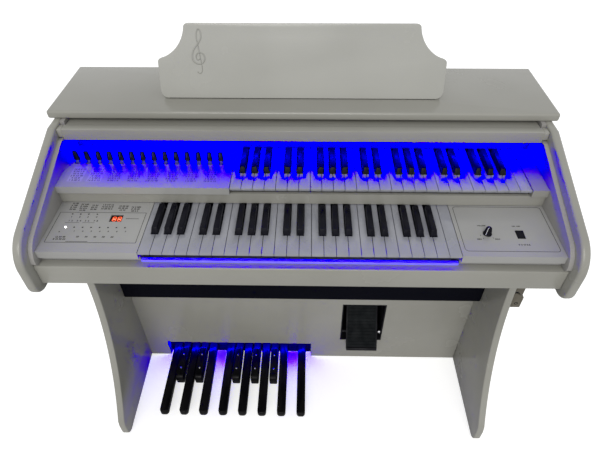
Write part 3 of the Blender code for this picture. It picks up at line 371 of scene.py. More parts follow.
lid_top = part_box("top_lid")[1].z
desk_place = leant((0.0, DESK_FOOT_Y, lid_top), -DESK_LEAN)
half = desk_board_outline()
desk = extrude(half + [(-x, s) for x, s in reversed(half)], 0.0, DESK_THICK, "y")
round_edges(desk, DESK_ROUND, 4, 50.0)
desk.transform(desk_place)
# A black felt strip under the desk's foot; its black also serves as painted contact shadow where the desk
# meets the lid.
felt_half = DESK_HALF - DESK_CORNER
felt = extrude(square(-felt_half, felt_half, 0.0002, DESK_LIFT + FELT_SUNK), FELT_INSET,
               DESK_THICK - FELT_INSET, "y")
felt.transform(desk_place)
felt_and_painted_shadow = drifting("felt_black_and_painted_shadow", 0.9, (600.0, 4.0), (0.010, 0.010, 0.010), (0.022, 0.022, 0.020),
                      specular=0.05)
make_piece("desk_foot_felt_and_shadow", felt, felt_and_painted_shadow, "console")
# The desk's lacquer is a lighter copy of the case lacquer: painted light, for the brighter light the desk
# catches.
painted_light_desk_lacquer = sprayed_lacquer("desk_lacquer_painted_lighter", (0.370, 0.368, 0.340), (0.415, 0.413, 0.385))
make_piece("desk_board", desk, painted_light_desk_lacquer, "console", ["music_desk"])
clef_line = smooth_path([(CLEF_X + x * CLEF_UNIT, CLEF_MIDDLE + (s - 1.85) * CLEF_UNIT)
                         for x, s in CLEF_PATH])
count = len(clef_line)
widths = [CLEF_LINE * (0.55 + 0.75 * math.sin(math.pi * min(1.0, 1.15 * i / count))) for i in range(count)]
clef = ribbon(clef_line, widths, 0.0003, CLEF_RISE)
dome(clef, (clef_line[-1][0], 0.0, clef_line[-1][1] + 0.0012), CLEF_BALL, (1.0, 0.45, 1.0))
clef.transform(desk_place)
# The clef's lacquer is a darker copy of the desk's: painted shade for its raised relief.
clef_painted_shade_lacquer = sprayed_lacquer("clef_painted_shade_lacquer", (0.330, 0.328, 0.303), (0.372, 0.370, 0.344))
make_piece("desk_clef", clef, clef_painted_shade_lacquer, "console", smooth=60.0)

# Key cover. A square-edged lacquered bar with a thinner board behind it that runs back under
# the lid; a bright steel rod at the board's back edge slides in the liners.
BAR_DEPTH = 0.020
BAR_DROP = 0.0044
BAR_SIDE_GAP = 0.001
BOARD_THICK = 0.008
BOARD_STEP = 0.004
BOARD_SIDE_GAP = 0.0012
COVER_ROUND = 0.0012
BEAD_WALL = 0.0028
ROD_GAP = 0.0003
low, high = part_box("key_cover")
rod_low, rod_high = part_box("cover_guide_rod")
rod_y, rod_z = (rod_low.y + rod_high.y) / 2, (rod_low.z + rod_high.z) / 2
rod_half = (rod_high.z - rod_low.z) / 2
liner_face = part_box("right_liner")[0].x
bar_half, board_half = liner_face - BAR_SIDE_GAP, liner_face - BOARD_SIDE_GAP
bar_back = low.y + BAR_DEPTH
cover_shape = extrude(square(low.y, bar_back, low.z, high.z), -bar_half, bar_half, "x")
for side in (-1, 1):
    ends = sorted((side * bar_half, side * high.x))
    wing = extrude([(low.y, low.z + BAR_DROP + 0.003), (bar_back, low.z + BAR_DROP + 0.010),
                    (bar_back, high.z), (low.y, high.z)], ends[0], ends[1], "x")
    gather(cover_shape, round_edges(wing, 0.0010, 2))
round_edges(cover_shape, COVER_ROUND, 3)
board_end = rod_y - rod_half - 0.0004
board_top = high.z - BOARD_STEP
upper_lip, lower_lip = (board_end, rod_z + BOARD_THICK / 2), (board_end, rod_z - BOARD_THICK / 2)
board = extrude([(bar_back - 0.001, board_top - BOARD_THICK), lower_lip, upper_lip,
                 (bar_back - 0.001, board_top)], -board_half, board_half, "x")
gather(cover_shape, board)
bead = bow((rod_y, rod_z), rod_half + BEAD_WALL, -145.0, 145.0, 24) + [upper_lip]
bead += bow((rod_y, rod_z), rod_half + ROD_GAP, 140.0, -140.0, 24) + [lower_lip]
gather(cover_shape, extrude(bead, -board_half, board_half, "x"))
make_piece("cover_board", cover_shape, white_lacquer, "cover", ["key_cover"])
bright_steel = drifting("drawn_steel", 0.3, (60.0, 3.0, (0.2, 6.0, 6.0)), (0.50, 0.50, 0.52),
                        (0.62, 0.62, 0.64), ((900.0, 2.0, (0.05, 1.0, 1.0)), 0.18, 0.34), metallic=1.0)
dress(bright_steel, "cover_guide_rod")

# Manuals. Injection-moulded keys, F to C: white keys with a 5 mm front lip and notches for
# the sharps, and black sharps that taper to a narrower, rounded top. Seven keys share a strip.
WHITE_PITCH = 0.0235
WHITE_GAP = 0.001
WHITE_STRIP = 0.022
WHITE_STRIP_THICK = 0.014
LIP_THICK = 0.005
LIP_REACH = 0.012
WHITE_DEEP = 0.016
NOTCH_FRONT = 0.0511
NOTCH_HALF = 0.00765
UNDER_BACK = 0.150
UNDER_INSET = 0.0007
KEY_ROUND = 0.0006
JOIN = 0.0001
SHARP_FRONT = 0.0525
SHARP_BACK = 0.1305
SHARP_HALF = 0.00675
SHARP_TALL = 0.012
SHARP_SLANT = 0.0055
SHARP_TAPER = 0.0015
SHARP_ROUND = 0.0008
SHARP_STRIP = (0.182, 0.204)
SHARP_STRIP_DROPS = (0.020, 0.0125)
TAIL_DROPS = (0.0175, 0.0127)
TAIL_OVERLAP = 0.003
TAIL_INSET = 0.0004
SHARPS_AFTER = {0: -0.0020, 1: 0.0, 2: 0.0020, 4: -0.0015, 5: 0.0015}
WHITE_COMBS = {1: range(0, 7), 2: range(7, 14), 3: range(14, 21), 4: range(21, 26)}
SHARP_COMBS = {1: range(0, 7), 2: range(7, 14), 3: range(14, 25)}
LAST_WHITE = 25

white_plastic = drifting("white_key_plastic", 0.2, (22.0, 3.0), (0.280, 0.285, 0.320), (0.320, 0.325, 0.365),
                         ((55.0, 5.0, (1.0, 0.4, 1.0)), 0.14, 0.30), ((900.0, 2.0), 0.0001, 0.06), coat=0.15)
black_plastic = drifting("black_key_plastic", 0.3, (40.0, 4.0), (0.0025, 0.0025, 0.0060),
                         (0.0060, 0.0060, 0.0110), ((70.0, 5.0, (1.0, 0.3, 1.0)), 0.22, 0.42),
                         ((1400.0, 2.0), 0.00012, 0.16), specular=0.09)


def white_key_plan(place, left, front, back, inset=0.0):
    """Outline of one white key from above, notched beside each neighbouring sharp."""
    x0, x1 = left + WHITE_GAP / 2 + inset, left + WHITE_PITCH - WHITE_GAP / 2 - inset
    notch = front + NOTCH_FRONT - inset
    plan = [(x0, front), (x1, front)]
    if place % 7 in SHARPS_AFTER and place < LAST_WHITE:
        edge = left + WHITE_PITCH + SHARPS_AFTER[place % 7] - NOTCH_HALF - inset
        plan += [(x1, notch), (edge, notch), (edge, back)]
    else:
        plan += [(x1, back)]
    if place > 0 and (place - 1) % 7 in SHARPS_AFTER:
        edge = left + SHARPS_AFTER[(place - 1) % 7] + NOTCH_HALF + inset
        plan += [(edge, back), (edge, notch), (x0, notch)]
    else:
        plan += [(x0, back)]
    return plan


def sharp_key(x, front, top):
    """One sharp: a slanted, tapered cap, and the tail that joins it to its comb's strip."""
    face, back, crown = front + SHARP_FRONT, front + SHARP_BACK, top + SHARP_TALL
    side_view = [(face, top - WHITE_DEEP), (face, top), (face + SHARP_SLANT, crown), (back, crown),
                 (back, top - WHITE_DEEP)]
    cap = extrude(side_view, x - SHARP_HALF, x + SHARP_HALF, "x")
    for corner in cap.verts:
        if corner.co.z > top + SHARP_TALL / 2:
            corner.co.x += math.copysign(SHARP_TAPER, x - corner.co.x)
    tail = square(back - TAIL_OVERLAP, front + SHARP_STRIP[0], top - TAIL_DROPS[0], top - TAIL_DROPS[1])
    tail_half = SHARP_HALF - TAIL_INSET
    return round_edges(cap, SHARP_ROUND, 3, 20.0), extrude(tail, x - tail_half, x + tail_half, "x")


for manual in ("lower", "upper"):
    manual_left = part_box(manual + "_white_keys_1")[0].x - WHITE_GAP / 2
    for number, places in WHITE_COMBS.items():
        comb = f"{manual}_white_keys_{number}"
        low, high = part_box(comb)
        keys = bmesh.new()
        for i in places:
            left = manual_left + i * WHITE_PITCH
            plan = white_key_plan(i, left, low.y, high.y - WHITE_STRIP)
            gather(keys, round_edges(extrude(plan, high.z - LIP_THICK, high.z, "z"), KEY_ROUND, 2))
            under = white_key_plan(i, left, low.y + LIP_REACH, low.y + UNDER_BACK, UNDER_INSET)
            gather(keys, extrude(under, high.z - WHITE_DEEP, high.z - LIP_THICK - JOIN, "z"))
        strip = square(high.y - WHITE_STRIP + JOIN, high.y, high.z - WHITE_STRIP_THICK, high.z)
        gather(keys, extrude(strip, low.x, high.x, "x"))
        make_piece(comb + "_moulded", keys, white_plastic, comb, [comb])
    for number, places in SHARP_COMBS.items():
        comb = f"{manual}_sharp_keys_{number}"
        low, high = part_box(comb)
        top = high.z - SHARP_TALL
        front = high.y - SHARP_STRIP[1]
        keys = bmesh.new()
        for i in places:
            if i % 7 in SHARPS_AFTER:
                for part in sharp_key(manual_left + (i + 1) * WHITE_PITCH + SHARPS_AFTER[i % 7], front, top):
                    gather(keys, part)
        strip = square(front + SHARP_STRIP[0], front + SHARP_STRIP[1],
                       top - SHARP_STRIP_DROPS[0], top - SHARP_STRIP_DROPS[1])
        gather(keys, extrude(strip, low.x, high.x, "x"))
        make_piece(comb + "_moulded", keys, black_plastic, comb, [comb])

# Control panels. Boards faced with a printed off-white film: a ruled border on each, and on the
# left one plain figures in small print and two rows of small domed lamps, one of them lit.
PRINT_THICK = 0.00008
PRINT_WEIGHT = 0.05
RULE_WIDTH = 0.0011
PRINT_DARK = (0.030, 0.030, 0.028)
PRINT_LIGHT = (0.055, 0.055, 0.050)
BORDERS = ((-0.4917, -0.3139, 0.0252, 0.1128, 0.0012), (0.3132, 0.4929, 0.0134, 0.1407, 0.0070))
UPPER_LAMPS_X = (-0.4647, -0.4479, -0.4313, -0.4137)
UPPER_LAMPS_Y = 0.107 - KEY_Y
LOWER_LAMPS_Y = 0.068 - KEY_Y
LAMP_PITCH = 0.0169
LAMP_RADIUS = 0.0017
LAMP_SQUASH = (1.0, 1.0, 0.0011 / LAMP_RADIUS)
LIT_RADIUS = 0.0021
LIT_SQUASH = (1.0, 1.0, 0.0014 / LIT_RADIUS)
LAMP_GLOW = 6.0
TEXT_TALL = 0.0056
TEXT_PITCH = 0.0062
LAMP_TEXT_TALL = 0.0050
TEXT_ROWS = {(-0.4700, 0.1400): ("12 38", "4 168", "8 124", "20 46"),
             (-0.4490, 0.1372): ("24 160", "8 1204", "32 416", "16 38"),
             (-0.4270, 0.1345): ("16 24", "84 12", "20 86"),
             (-0.4000, 0.1362): ("1 2 4 8 16", "16 32 64 8", "14 28 56 2"),
             (-0.3665, 0.1325): ("10 20 40", "36 48 60", "12 14"),
             (-0.3400, 0.1300): ("16 4 200", "8 12 40", "22 6 3"),
             (-0.4655, 0.0405): ("12 24 48",),
             (-0.4655, 0.0345): ("8 16 32 64",)}
RULES = ((-0.4715, -0.4420, 0.0812, 0.0820), (-0.4360, -0.4110, 0.0812, 0.0820),
         (-0.3520, -0.3255, 0.0938, 0.0951), (-0.4510, -0.4080, 0.0278, 0.0290))

panel_film = drifting("printed_film", 0.35, (5.0, 3.0), (0.330, 0.328, 0.322), (0.370, 0.368, 0.362),
                      ((30.0, 4.0), 0.28, 0.42), ((1100.0, 2.0), 0.0001, 0.12), coat=0.1)
grey_ink = drifting("grey_ink", 0.5, (400.0, 3.0), PRINT_DARK, PRINT_LIGHT)
dress(panel_film, "left_control_panel", "right_control_panel", "tab_panel")
panel_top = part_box("left_control_panel")[1].z


def printed(whole, outline, z):
    """A printed patch, lying flat on a panel."""
    gather(whole, extrude(outline, z - PRINT_THICK, z + PRINT_THICK, "z"))


def ruled(whole, x0, x1, y0, y1, z):
    """One printed line or bar."""
    printed(whole, square(x0, x1, y0, y1), z)


def numerals(whole, text, height, x, y, z):
    """Plain printed figures or words, centred on a point."""
    curve = bpy.data.curves.new("figures", "FONT")
    curve.body = text
    curve.size = height
    curve.align_x = "CENTER"
    curve.align_y = "CENTER"
    curve.extrude = PRINT_THICK
    curve.offset = height * PRINT_WEIGHT
    curve.resolution_u = 2
    writer = stand("figures", curve)
    bpy.context.view_layer.update()
    flat = bpy.data.meshes.new_from_object(writer)
    flat.transform(Matrix.Translation((x, y, z)))
    whole.from_mesh(flat)
    bpy.data.meshes.remove(flat)
    bpy.data.objects.remove(writer)
    bpy.data.curves.remove(curve)


def lit(finish, colour, strength):
    """Makes a finish glow."""
    shader = finish.node_tree.nodes["Principled BSDF"]
    shader.inputs["Emission Color"].default_value = (*colour, 1.0)
    shader.inputs["Emission Strength"].default_value = strength
    return finish


ink = bmesh.new()
for x0, x1, y0, y1, corner in BORDERS:
    outer = rounded_plan(x0, x1, y0 - KEY_Y, y1 - KEY_Y, corner, 6)
    inner = rounded_plan(x0, x1, y0 - KEY_Y, y1 - KEY_Y, corner, 6, RULE_WIDTH)
    for i in range(len(outer)):
        j = (i + 1) % len(outer)
        printed(ink, [outer[i], outer[j], inner[j], inner[i]], panel_top)
for (x, y), rows in TEXT_ROWS.items():
    for row, text in enumerate(rows):
        numerals(ink, text, TEXT_TALL, x, y - KEY_Y - TEXT_PITCH * row, panel_top)
for i, x in enumerate(UPPER_LAMPS_X):
    numerals(ink, str(i + 1), TEXT_TALL, x + 0.001, UPPER_LAMPS_Y - 0.0085, panel_top)
    numerals(ink, f"{2 * i + 1}  {2 * i + 2}", TEXT_TALL, x + 0.003, 0.0868 - KEY_Y, panel_top)
for x0, x1, y0, y1 in RULES:
    ruled(ink, x0, x1, y0 - KEY_Y, y1 - KEY_Y, panel_top)
numerals(ink, "0", LAMP_TEXT_TALL, -0.4727, 0.0546 - KEY_Y, panel_top)
lamps = bmesh.new()
for x in UPPER_LAMPS_X:
    dome(lamps, (x, UPPER_LAMPS_Y, panel_top), LAMP_RADIUS, LAMP_SQUASH)
for i in range(1, 8):
    x = UPPER_LAMPS_X[0] + i * LAMP_PITCH
    dome(lamps, (x, LOWER_LAMPS_Y, panel_top), LAMP_RADIUS, LAMP_SQUASH)
    numerals(ink, str(i), LAMP_TEXT_TALL, x + 0.004, LOWER_LAMPS_Y - 0.0112, panel_top)
    if 1 < i < 7:
        numerals(ink, str(10 * i), TEXT_TALL, x - 0.001, 0.0414 - KEY_Y, panel_top)
make_piece("panel_print", ink, grey_ink, "console")
lamp_dark = drifting("lamp_dark", 0.25, (300.0, 2.0), (0.015, 0.015, 0.015), (0.03, 0.03, 0.03))
make_piece("panel_lamps", lamps, lamp_dark, "console")
lit_lamp = bmesh.new()
dome(lit_lamp, (UPPER_LAMPS_X[0], LOWER_LAMPS_Y, panel_top), LIT_RADIUS, LIT_SQUASH)
lamp_lit = drifting("lamp_lit", 0.3, (300.0, 2.0), (0.8, 0.8, 0.8), (0.95, 0.95, 0.95))
make_piece("panel_lamp_lit", lit_lamp, lit(lamp_lit, (1.0, 1.0, 1.0), LAMP_GLOW), "console")

# Display. A dark red window sunk in the panel, with two seven-bar figures that glow behind it;
# their middle bars look brightest. A faint painted glow round them fills the window but stops short
# of the top and left, which stay black where the recess's shade falls.
FIGURE_TALL = 0.0115
FIGURE_WIDE = 0.0066
FIGURE_BAR = 0.0015
FIGURE_PITCH = 0.0104
FIGURES_SHIFT = 0.0012
WINDOW_SUNK = 0.0008
PAINTED_GLOW_BOX = (-0.0098, 0.0098, -0.0078, 0.0066)
low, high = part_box("display_window")
face_z = high.z - WINDOW_SUNK
window = round_edges(extrude(square(low.x, high.x, low.y, high.y), low.z, face_z, "z"), 0.0003, 2)
red_window = drifting("red_window_tint", 0.15, (60.0, 2.0), (0.010, 0.003, 0.004), (0.022, 0.004, 0.005),
                      specular=0.3)
make_piece("display_glass", window, red_window, "console", ["display_window"])
figures, cores, painted_glow = bmesh.new(), bmesh.new(), bmesh.new()
middle_x, middle_y = (low.x + high.x) / 2 + FIGURES_SHIFT, (low.y + high.y) / 2 - FIGURES_SHIFT
w, t, h = FIGURE_WIDE / 2, FIGURE_TALL / 2, FIGURE_BAR / 2
for sign in (-0.5, 0.5):
    x = middle_x + sign * FIGURE_PITCH
    for y in (-t, t):
        ruled(figures, x - w + h, x + w - h, middle_y + y - h, middle_y + y + h, face_z)
    for a in (-w, w):
        for y in (middle_y - t / 2, middle_y + t / 2):
            ruled(figures, x + a - h, x + a + h, y - t / 2 + h * 0.6, y + t / 2 - h * 0.6, face_z)
    ruled(cores, x - w + h, x + w - h, middle_y - h, middle_y + h, face_z)
# A faint painted glow patch under the figures, standing for their light spreading in the window.
ruled(painted_glow, middle_x + PAINTED_GLOW_BOX[0], middle_x + PAINTED_GLOW_BOX[1], middle_y + PAINTED_GLOW_BOX[2], middle_y + PAINTED_GLOW_BOX[3], face_z - 0.00015)
for name, shape, tint, strength in (("display_figures", figures, (1.0, 0.10, 0.02), 1.6),
                                    ("display_middle_bars", cores, (1.0, 0.30, 0.16), 3.0),
                                    ("display_painted_glow", painted_glow, (1.0, 0.055, 0.012), 0.28)):
    glow = drifting(name + "_glow", 0.4, (200.0, 2.0), (0.30, 0.03, 0.01), (0.40, 0.05, 0.02))
    make_piece(name, shape, lit(glow, tint, strength), "console")

# Volume knob and power rocker. A black moulded knob, conical above its skirt, with a pointer
# ridge and a white line along it that is both a pointer line and a painted highlight on the ridge,
# on a shaft through the panel; a glossy black rocker in a cut-out.
KNOB_SKIRT = 0.0085
KNOB_CONE = ((0.0076, 0.0028), (0.0050, 0.0160))
KNOB_POINTS = 230.0
KNOB_RIBS = 14
RIB_DEPTH = 0.00025
KNOB_HIGHLIGHT_LINE_HALF = 0.0011 / 2
MARKS = ((-0.0139, -0.0038), (-0.0100, -0.0124), (0.0086, -0.0107))
MARK_HALF = (0.0005, 0.0018)
DIAL_TEXT = (("VOLUME", 0.0042, -0.0060, 0.0836), ("MIN", 0.0046, -0.0186, 0.0458),
             ("MAX", 0.0046, 0.0164, 0.0463))
SWITCH_TEXT = (("ON  OFF", 0.0042, -0.0018, 0.0828), ("P O W E R", 0.0048, -0.0003, 0.0315))
ROCKER_LONG = 0.0102
ROCKER_DEEP = 0.006
ROCKER_RISE = 0.0042
ROCKER_RIDGE = 0.0046
ROCKER_AXLE = 0.003
ROCKER_LEAN = 6.0


def turned(profile, steps=56):
    """A shape turned round the upright axis from (radius, height) pairs."""
    shape = bmesh.new()
    turns = [2 * math.pi * k / steps for k in range(steps)]
    rings = [[shape.verts.new((r * math.cos(a), r * math.sin(a), z)) for a in turns] for r, z in profile]
    for a, b in zip(rings[:-1], rings[1:]):
        for k in range(steps):
            n = (k + 1) % steps
            shape.faces.new((a[k], a[n], b[n], b[k]))
    shape.faces.new(list(reversed(rings[0])))
    shape.faces.new(rings[-1])
    bmesh.ops.recalc_face_normals(shape, faces=shape.faces)
    return shape


low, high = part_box("volume_knob")
knob_x, knob_y = (low.x + high.x) / 2, (low.y + high.y) / 2
knob_foot = panel_top + 0.0003
knob_tall = high.z - knob_foot
(cone_foot, foot_height), (cone_top, top_height) = KNOB_CONE
knob = turned([(KNOB_SKIRT - 0.0004, 0.0), (KNOB_SKIRT, 0.0004), (KNOB_SKIRT, 0.0018),
               (KNOB_SKIRT - 0.0006, 0.0024), (cone_foot, foot_height), (cone_top, top_height),
               (cone_top - 0.0009, knob_tall - 0.0002), (0.0008, knob_tall)])
for point in knob.verts:
    reach = math.hypot(point.co.x, point.co.y)
    if foot_height < point.co.z + 0.0001 < top_height + 0.0003:
        wave = RIB_DEPTH * math.cos(KNOB_RIBS * math.atan2(point.co.y, point.co.x)) / reach
        point.co.x += point.co.x * wave
        point.co.y += point.co.y * wave
ridge = extrude([(0.0, -0.0020), (0.0085, -0.0009), (0.0085, 0.0009), (0.0, 0.0020)], 0.0022,
                knob_tall - 0.0001, "z", [(0.0, -0.0014), (0.0055, -0.0007), (0.0055, 0.0007), (0.0, 0.0014)])
gather(knob, round_edges(ridge, 0.0003, 2))
# The white line on the ridge is a pointer line and also a painted highlight where the ridge catches the
# light.
line = extrude(square(0.0080, 0.0087, -KNOB_HIGHLIGHT_LINE_HALF, KNOB_HIGHLIGHT_LINE_HALF), 0.0030, knob_tall, "z",
               square(0.0006, 0.0057, -KNOB_HIGHLIGHT_LINE_HALF, KNOB_HIGHLIGHT_LINE_HALF))
knob_stand = leant((knob_x, knob_y, knob_foot), KNOB_POINTS, "Z")
knob.transform(knob_stand)
line.transform(knob_stand)
make_piece("knob_moulded", knob, black_plastic, "volume_knob", ["volume_knob"])
white_ink_and_highlight = drifting("white_ink_and_highlight", 0.4, (400.0, 2.0), (0.55, 0.55, 0.56), (0.66, 0.66, 0.66))
make_piece("knob_line_and_highlight", line, white_ink_and_highlight, "volume_knob")
low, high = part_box("power_rocker")
rocker_x, rocker_y = (low.x + high.x) / 2, (low.y + high.y) / 2
dial_print = bmesh.new()
for x, y in MARKS:
    x, y = knob_x + x, knob_y + y
    ruled(dial_print, x - MARK_HALF[0], x + MARK_HALF[0], y - MARK_HALF[1], y + MARK_HALF[1], panel_top)
for middle, words in ((knob_x, DIAL_TEXT), (rocker_x, SWITCH_TEXT)):
    for text, tall, x, y in words:
        numerals(dial_print, text, tall, middle + x, y - KEY_Y, panel_top)
make_piece("dial_print", dial_print, grey_ink, "console")
tilt = math.radians(ROCKER_LEAN)
side_view = [(-ROCKER_LONG, -ROCKER_DEEP), (ROCKER_LONG, -ROCKER_DEEP), (ROCKER_LONG, ROCKER_RISE),
             (ROCKER_LONG * 0.5, ROCKER_RISE), (0.0, ROCKER_RIDGE), (-ROCKER_LONG * 0.5, ROCKER_RISE),
             (-ROCKER_LONG, ROCKER_RISE)]
outline = [(rocker_y + y * math.cos(tilt) - z * math.sin(tilt),
            panel_top - ROCKER_AXLE + y * math.sin(tilt) + z * math.cos(tilt)) for y, z in side_view]
rocker = round_edges(extrude(outline, low.x, high.x, "x"), 0.0006, 2, 60.0)
make_piece("rocker_moulded", rocker, black_plastic, "power_rocker", ["power_rocker"])

# Voice tabs. Fourteen black rocker tabs with rounded paddles on stems, in slots of the tab panel,
# seven on each of two bars; eight printed labels lie on the film in front of them. The stems and their
# bar are coloured blue as painted light from the blue strip behind them, and a pale-blue line down each
# paddle but the first two is a painted highlight.
TAB_COUNT = 14
TAB_WIDE = 0.010
TAB_THICK = 0.005
TAB_LEAN = 6.0
TAB_PADDLE = 0.0212
TAB_FOOT_HALF = 0.0062
TAB_HEAD_HALF = 0.0044
TAB_HEAD_RADIUS = 0.0026
TAB_ROUND = 0.0014
TAB_BAR_RADIUS = 0.004
TAB_HIGHLIGHT_LINE = (-0.0013, -0.0006, 0.0120, 0.0030)
ASKEW_TABS = 2
ASKEW = 0.10
LABEL_PITCH = 0.0400
LABEL_WIDE = 0.0285
LABEL_FIRST = -0.4806
LABEL_COUNT = 8
LABEL_STICKERS = 2
LABEL_TALL = 0.0068
LABEL_TOP = 0.1985
LABEL_ROW = 0.0074
LABEL_ROWS = ("16 8 4 12", "8 24 1 6", "32 4 16", "2 8 12 40", "4 16 8", "1 2 20 4")
tab_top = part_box("tab_panel")[1].z
first_low, first_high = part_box("voice_tabs_1")
second_low, second_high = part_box("voice_tabs_2")
tab_first = first_low.x + TAB_WIDE / 2
tab_pitch = (second_high.x - TAB_WIDE / 2 - tab_first) / (TAB_COUNT - 1)
tab_axis_z = first_low.z + TAB_BAR_RADIUS
tab_long = (first_high.z - tab_axis_z) / math.cos(math.radians(TAB_LEAN))
tab_foot = tab_long - TAB_PADDLE
tab_place = leant((0.0, 0.0, tab_axis_z), -TAB_LEAN)
tab_plastic = drifting("tab_plastic", 0.2, (90.0, 3.0), (0.003, 0.003, 0.010), (0.009, 0.009, 0.022),
                       ((120.0, 4.0), 0.14, 0.28), specular=0.15)
# The stems' blue is painted light from the blue strip, not the plastic's own colour.
stem_painted_blue_light = drifting("tab_stem_painted_blue_light", 0.3, (150.0, 3.0), (0.045, 0.045, 0.30), (0.075, 0.075, 0.38))
for number in (1, 2):
    paddles, stems, highlight_lines = bmesh.new(), bmesh.new(), bmesh.new()
    for i in range(7 * (number - 1), 7 * number):
        x = tab_first + i * tab_pitch
        shoulder = TAB_HEAD_HALF - TAB_HEAD_RADIUS
        outline = [(x - TAB_FOOT_HALF + 0.001, tab_foot), (x + TAB_FOOT_HALF - 0.001, tab_foot),
                   (x + TAB_FOOT_HALF, tab_foot + 0.002)]
        outline += bow((x + shoulder, tab_long - TAB_HEAD_RADIUS), TAB_HEAD_RADIUS, 0.0, 90.0, 5)
        outline += bow((x - shoulder, tab_long - TAB_HEAD_RADIUS), TAB_HEAD_RADIUS, 90.0, 180.0, 5)
        outline += [(x - TAB_FOOT_HALF, tab_foot + 0.002)]
        if i < ASKEW_TABS:
            outline = [(a - ASKEW * (s - tab_foot), s) for a, s in outline]
        else:
            # A thin pale-blue line down the paddle's face: a painted highlight.
            line = square(x + TAB_HIGHLIGHT_LINE[0], x + TAB_HIGHLIGHT_LINE[1], tab_long - TAB_HIGHLIGHT_LINE[2], tab_long - TAB_HIGHLIGHT_LINE[3])
            gather(highlight_lines, extrude(line, -TAB_THICK / 2 - 0.0002, -TAB_THICK / 2 + 0.0004, "y"))
        gather(paddles, round_edges(extrude(outline, -TAB_THICK / 2, TAB_THICK / 2, "y"), TAB_ROUND, 3))
        stem_half, stem_thick = TAB_WIDE / 2 - 0.001, TAB_THICK / 2 - 0.0003
        stem = extrude(square(x - stem_half, x + stem_half, 0.0, tab_foot), -stem_thick, stem_thick, "y")
        gather(stems, round_edges(stem, 0.0005, 1))
    low, high = (first_low, first_high) if number == 1 else (second_low, second_high)
    gather(stems, extrude(bow((0.0, 0.0), TAB_BAR_RADIUS, 0.0, 345.0, 23), low.x, high.x, "x"))
    for shape in (paddles, stems, highlight_lines):
        shape.transform(tab_place)
    body = f"voice_tabs_{number}"
    make_piece(f"tab_paddles_{number}", paddles, tab_plastic, body, [body])
    make_piece(f"tab_stems_{number}", stems, stem_painted_blue_light, body)
    make_piece(f"tab_highlight_lines_{number}", highlight_lines, stem_painted_blue_light, body)
tab_print, tab_band, stickers = bmesh.new(), bmesh.new(), bmesh.new()
for i in range(LABEL_COUNT):
    x = LABEL_FIRST + i * LABEL_PITCH
    for row in range(len(LABEL_ROWS)):
        numerals(tab_print, LABEL_ROWS[(row + i) % len(LABEL_ROWS)], LABEL_TALL, x + LABEL_WIDE / 2,
                 LABEL_TOP - LABEL_ROW * row - KEY_Y, tab_top)
    if i < LABEL_STICKERS:
        ruled(stickers, x - 0.001, x + LABEL_WIDE + 0.001, 0.1575 - KEY_Y, 0.2080 - KEY_Y, tab_top - 0.00006)
    else:
        ruled(tab_band, x, x + LABEL_WIDE + 0.006, 0.2020 - KEY_Y, 0.2125 - KEY_Y, tab_top - 0.00004)
for name, shape, dark, light in (("tab_band_print", tab_band, (0.20, 0.20, 0.21), (0.25, 0.25, 0.26)),
                                 ("tab_stickers", stickers, (0.43, 0.42, 0.43), (0.47, 0.46, 0.47))):
    film = drifting(name + "_film", 0.4, (220.0, 3.0), dark, light)
    make_piece(name, shape, film, "console")
label_ink = drifting("label_ink", 0.5, (400.0, 3.0), (0.090, 0.088, 0.095), (0.135, 0.132, 0.140))
make_piece("tab_print", tab_print, label_ink, "console")

# Legs, knee panel and baffle. Legs of 18 mm lacquered board with a concave front, a lacquered
# panel between them, and a board behind black loudspeaker cloth under the key bed.
LEG_EDGE = 0.0025
LEG_RADIUS = 0.915
LEG_FRONT_Y = 0.112 - KEY_Y
LEG_BEND_Z = 0.550
LEG_TOE_Z = 0.075
LEG_TOE_LIP = 0.020
LEG_TOE_ROUND = 0.022
THREAD_SCALE = 260.0
for side in ("left", "right"):
    low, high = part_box(side + "_leg")
    sweep = math.degrees(math.asin((LEG_BEND_Z - LEG_TOE_Z) / LEG_RADIUS))
    outline = [(LEG_FRONT_Y, high.z)]
    outline += bow((LEG_FRONT_Y - LEG_RADIUS, LEG_BEND_Z), LEG_RADIUS, 0.0, -sweep, 24)
    outline += [(low.y, LEG_TOE_Z - LEG_TOE_LIP)]
    outline += bow((low.y + LEG_TOE_ROUND, LEG_TOE_ROUND), LEG_TOE_ROUND, 180.0, 270.0, 8)
    outline += [(high.y, low.z), (high.y, high.z)]
    leg = round_edges(extrude(outline, low.x, high.x, "x"), LEG_EDGE, 3, 50.0)
    make_piece(side + "_leg_board", leg, white_lacquer, "console", [side + "_leg"])
dress(white_lacquer, "knee_panel")

speaker_cloth, tree, shader = start_finish("speaker_cloth", 0.95, specular=0.05)
where = tree.nodes.new("ShaderNodeTexCoord")
weave = tree.nodes.new("ShaderNodeMath")
weave.operation = "MULTIPLY"
for crossing, turn in zip(weave.inputs, (0.0, math.radians(90.0))):
    lay = tree.nodes.new("ShaderNodeMapping")
    lay.inputs["Rotation"].default_value = (0.0, turn, 0.0)
    thread = tree.nodes.new("ShaderNodeTexWave")
    thread.inputs["Scale"].default_value = THREAD_SCALE
    thread.inputs["Distortion"].default_value = 0.6
    tree.links.new(where.outputs["Object"], lay.inputs["Vector"])
    tree.links.new(lay.outputs["Vector"], thread.inputs["Vector"])
    tree.links.new(thread.outputs["Fac"], crossing)
tone(tree, shader, weave.outputs["Value"], (0.0022, 0.0024, 0.005), (0.0075, 0.008, 0.014), 0.0, 1.0)
relief(tree, shader, weave.outputs["Value"], 0.0005, 0.6)
dress(speaker_cloth, "speaker_baffle")

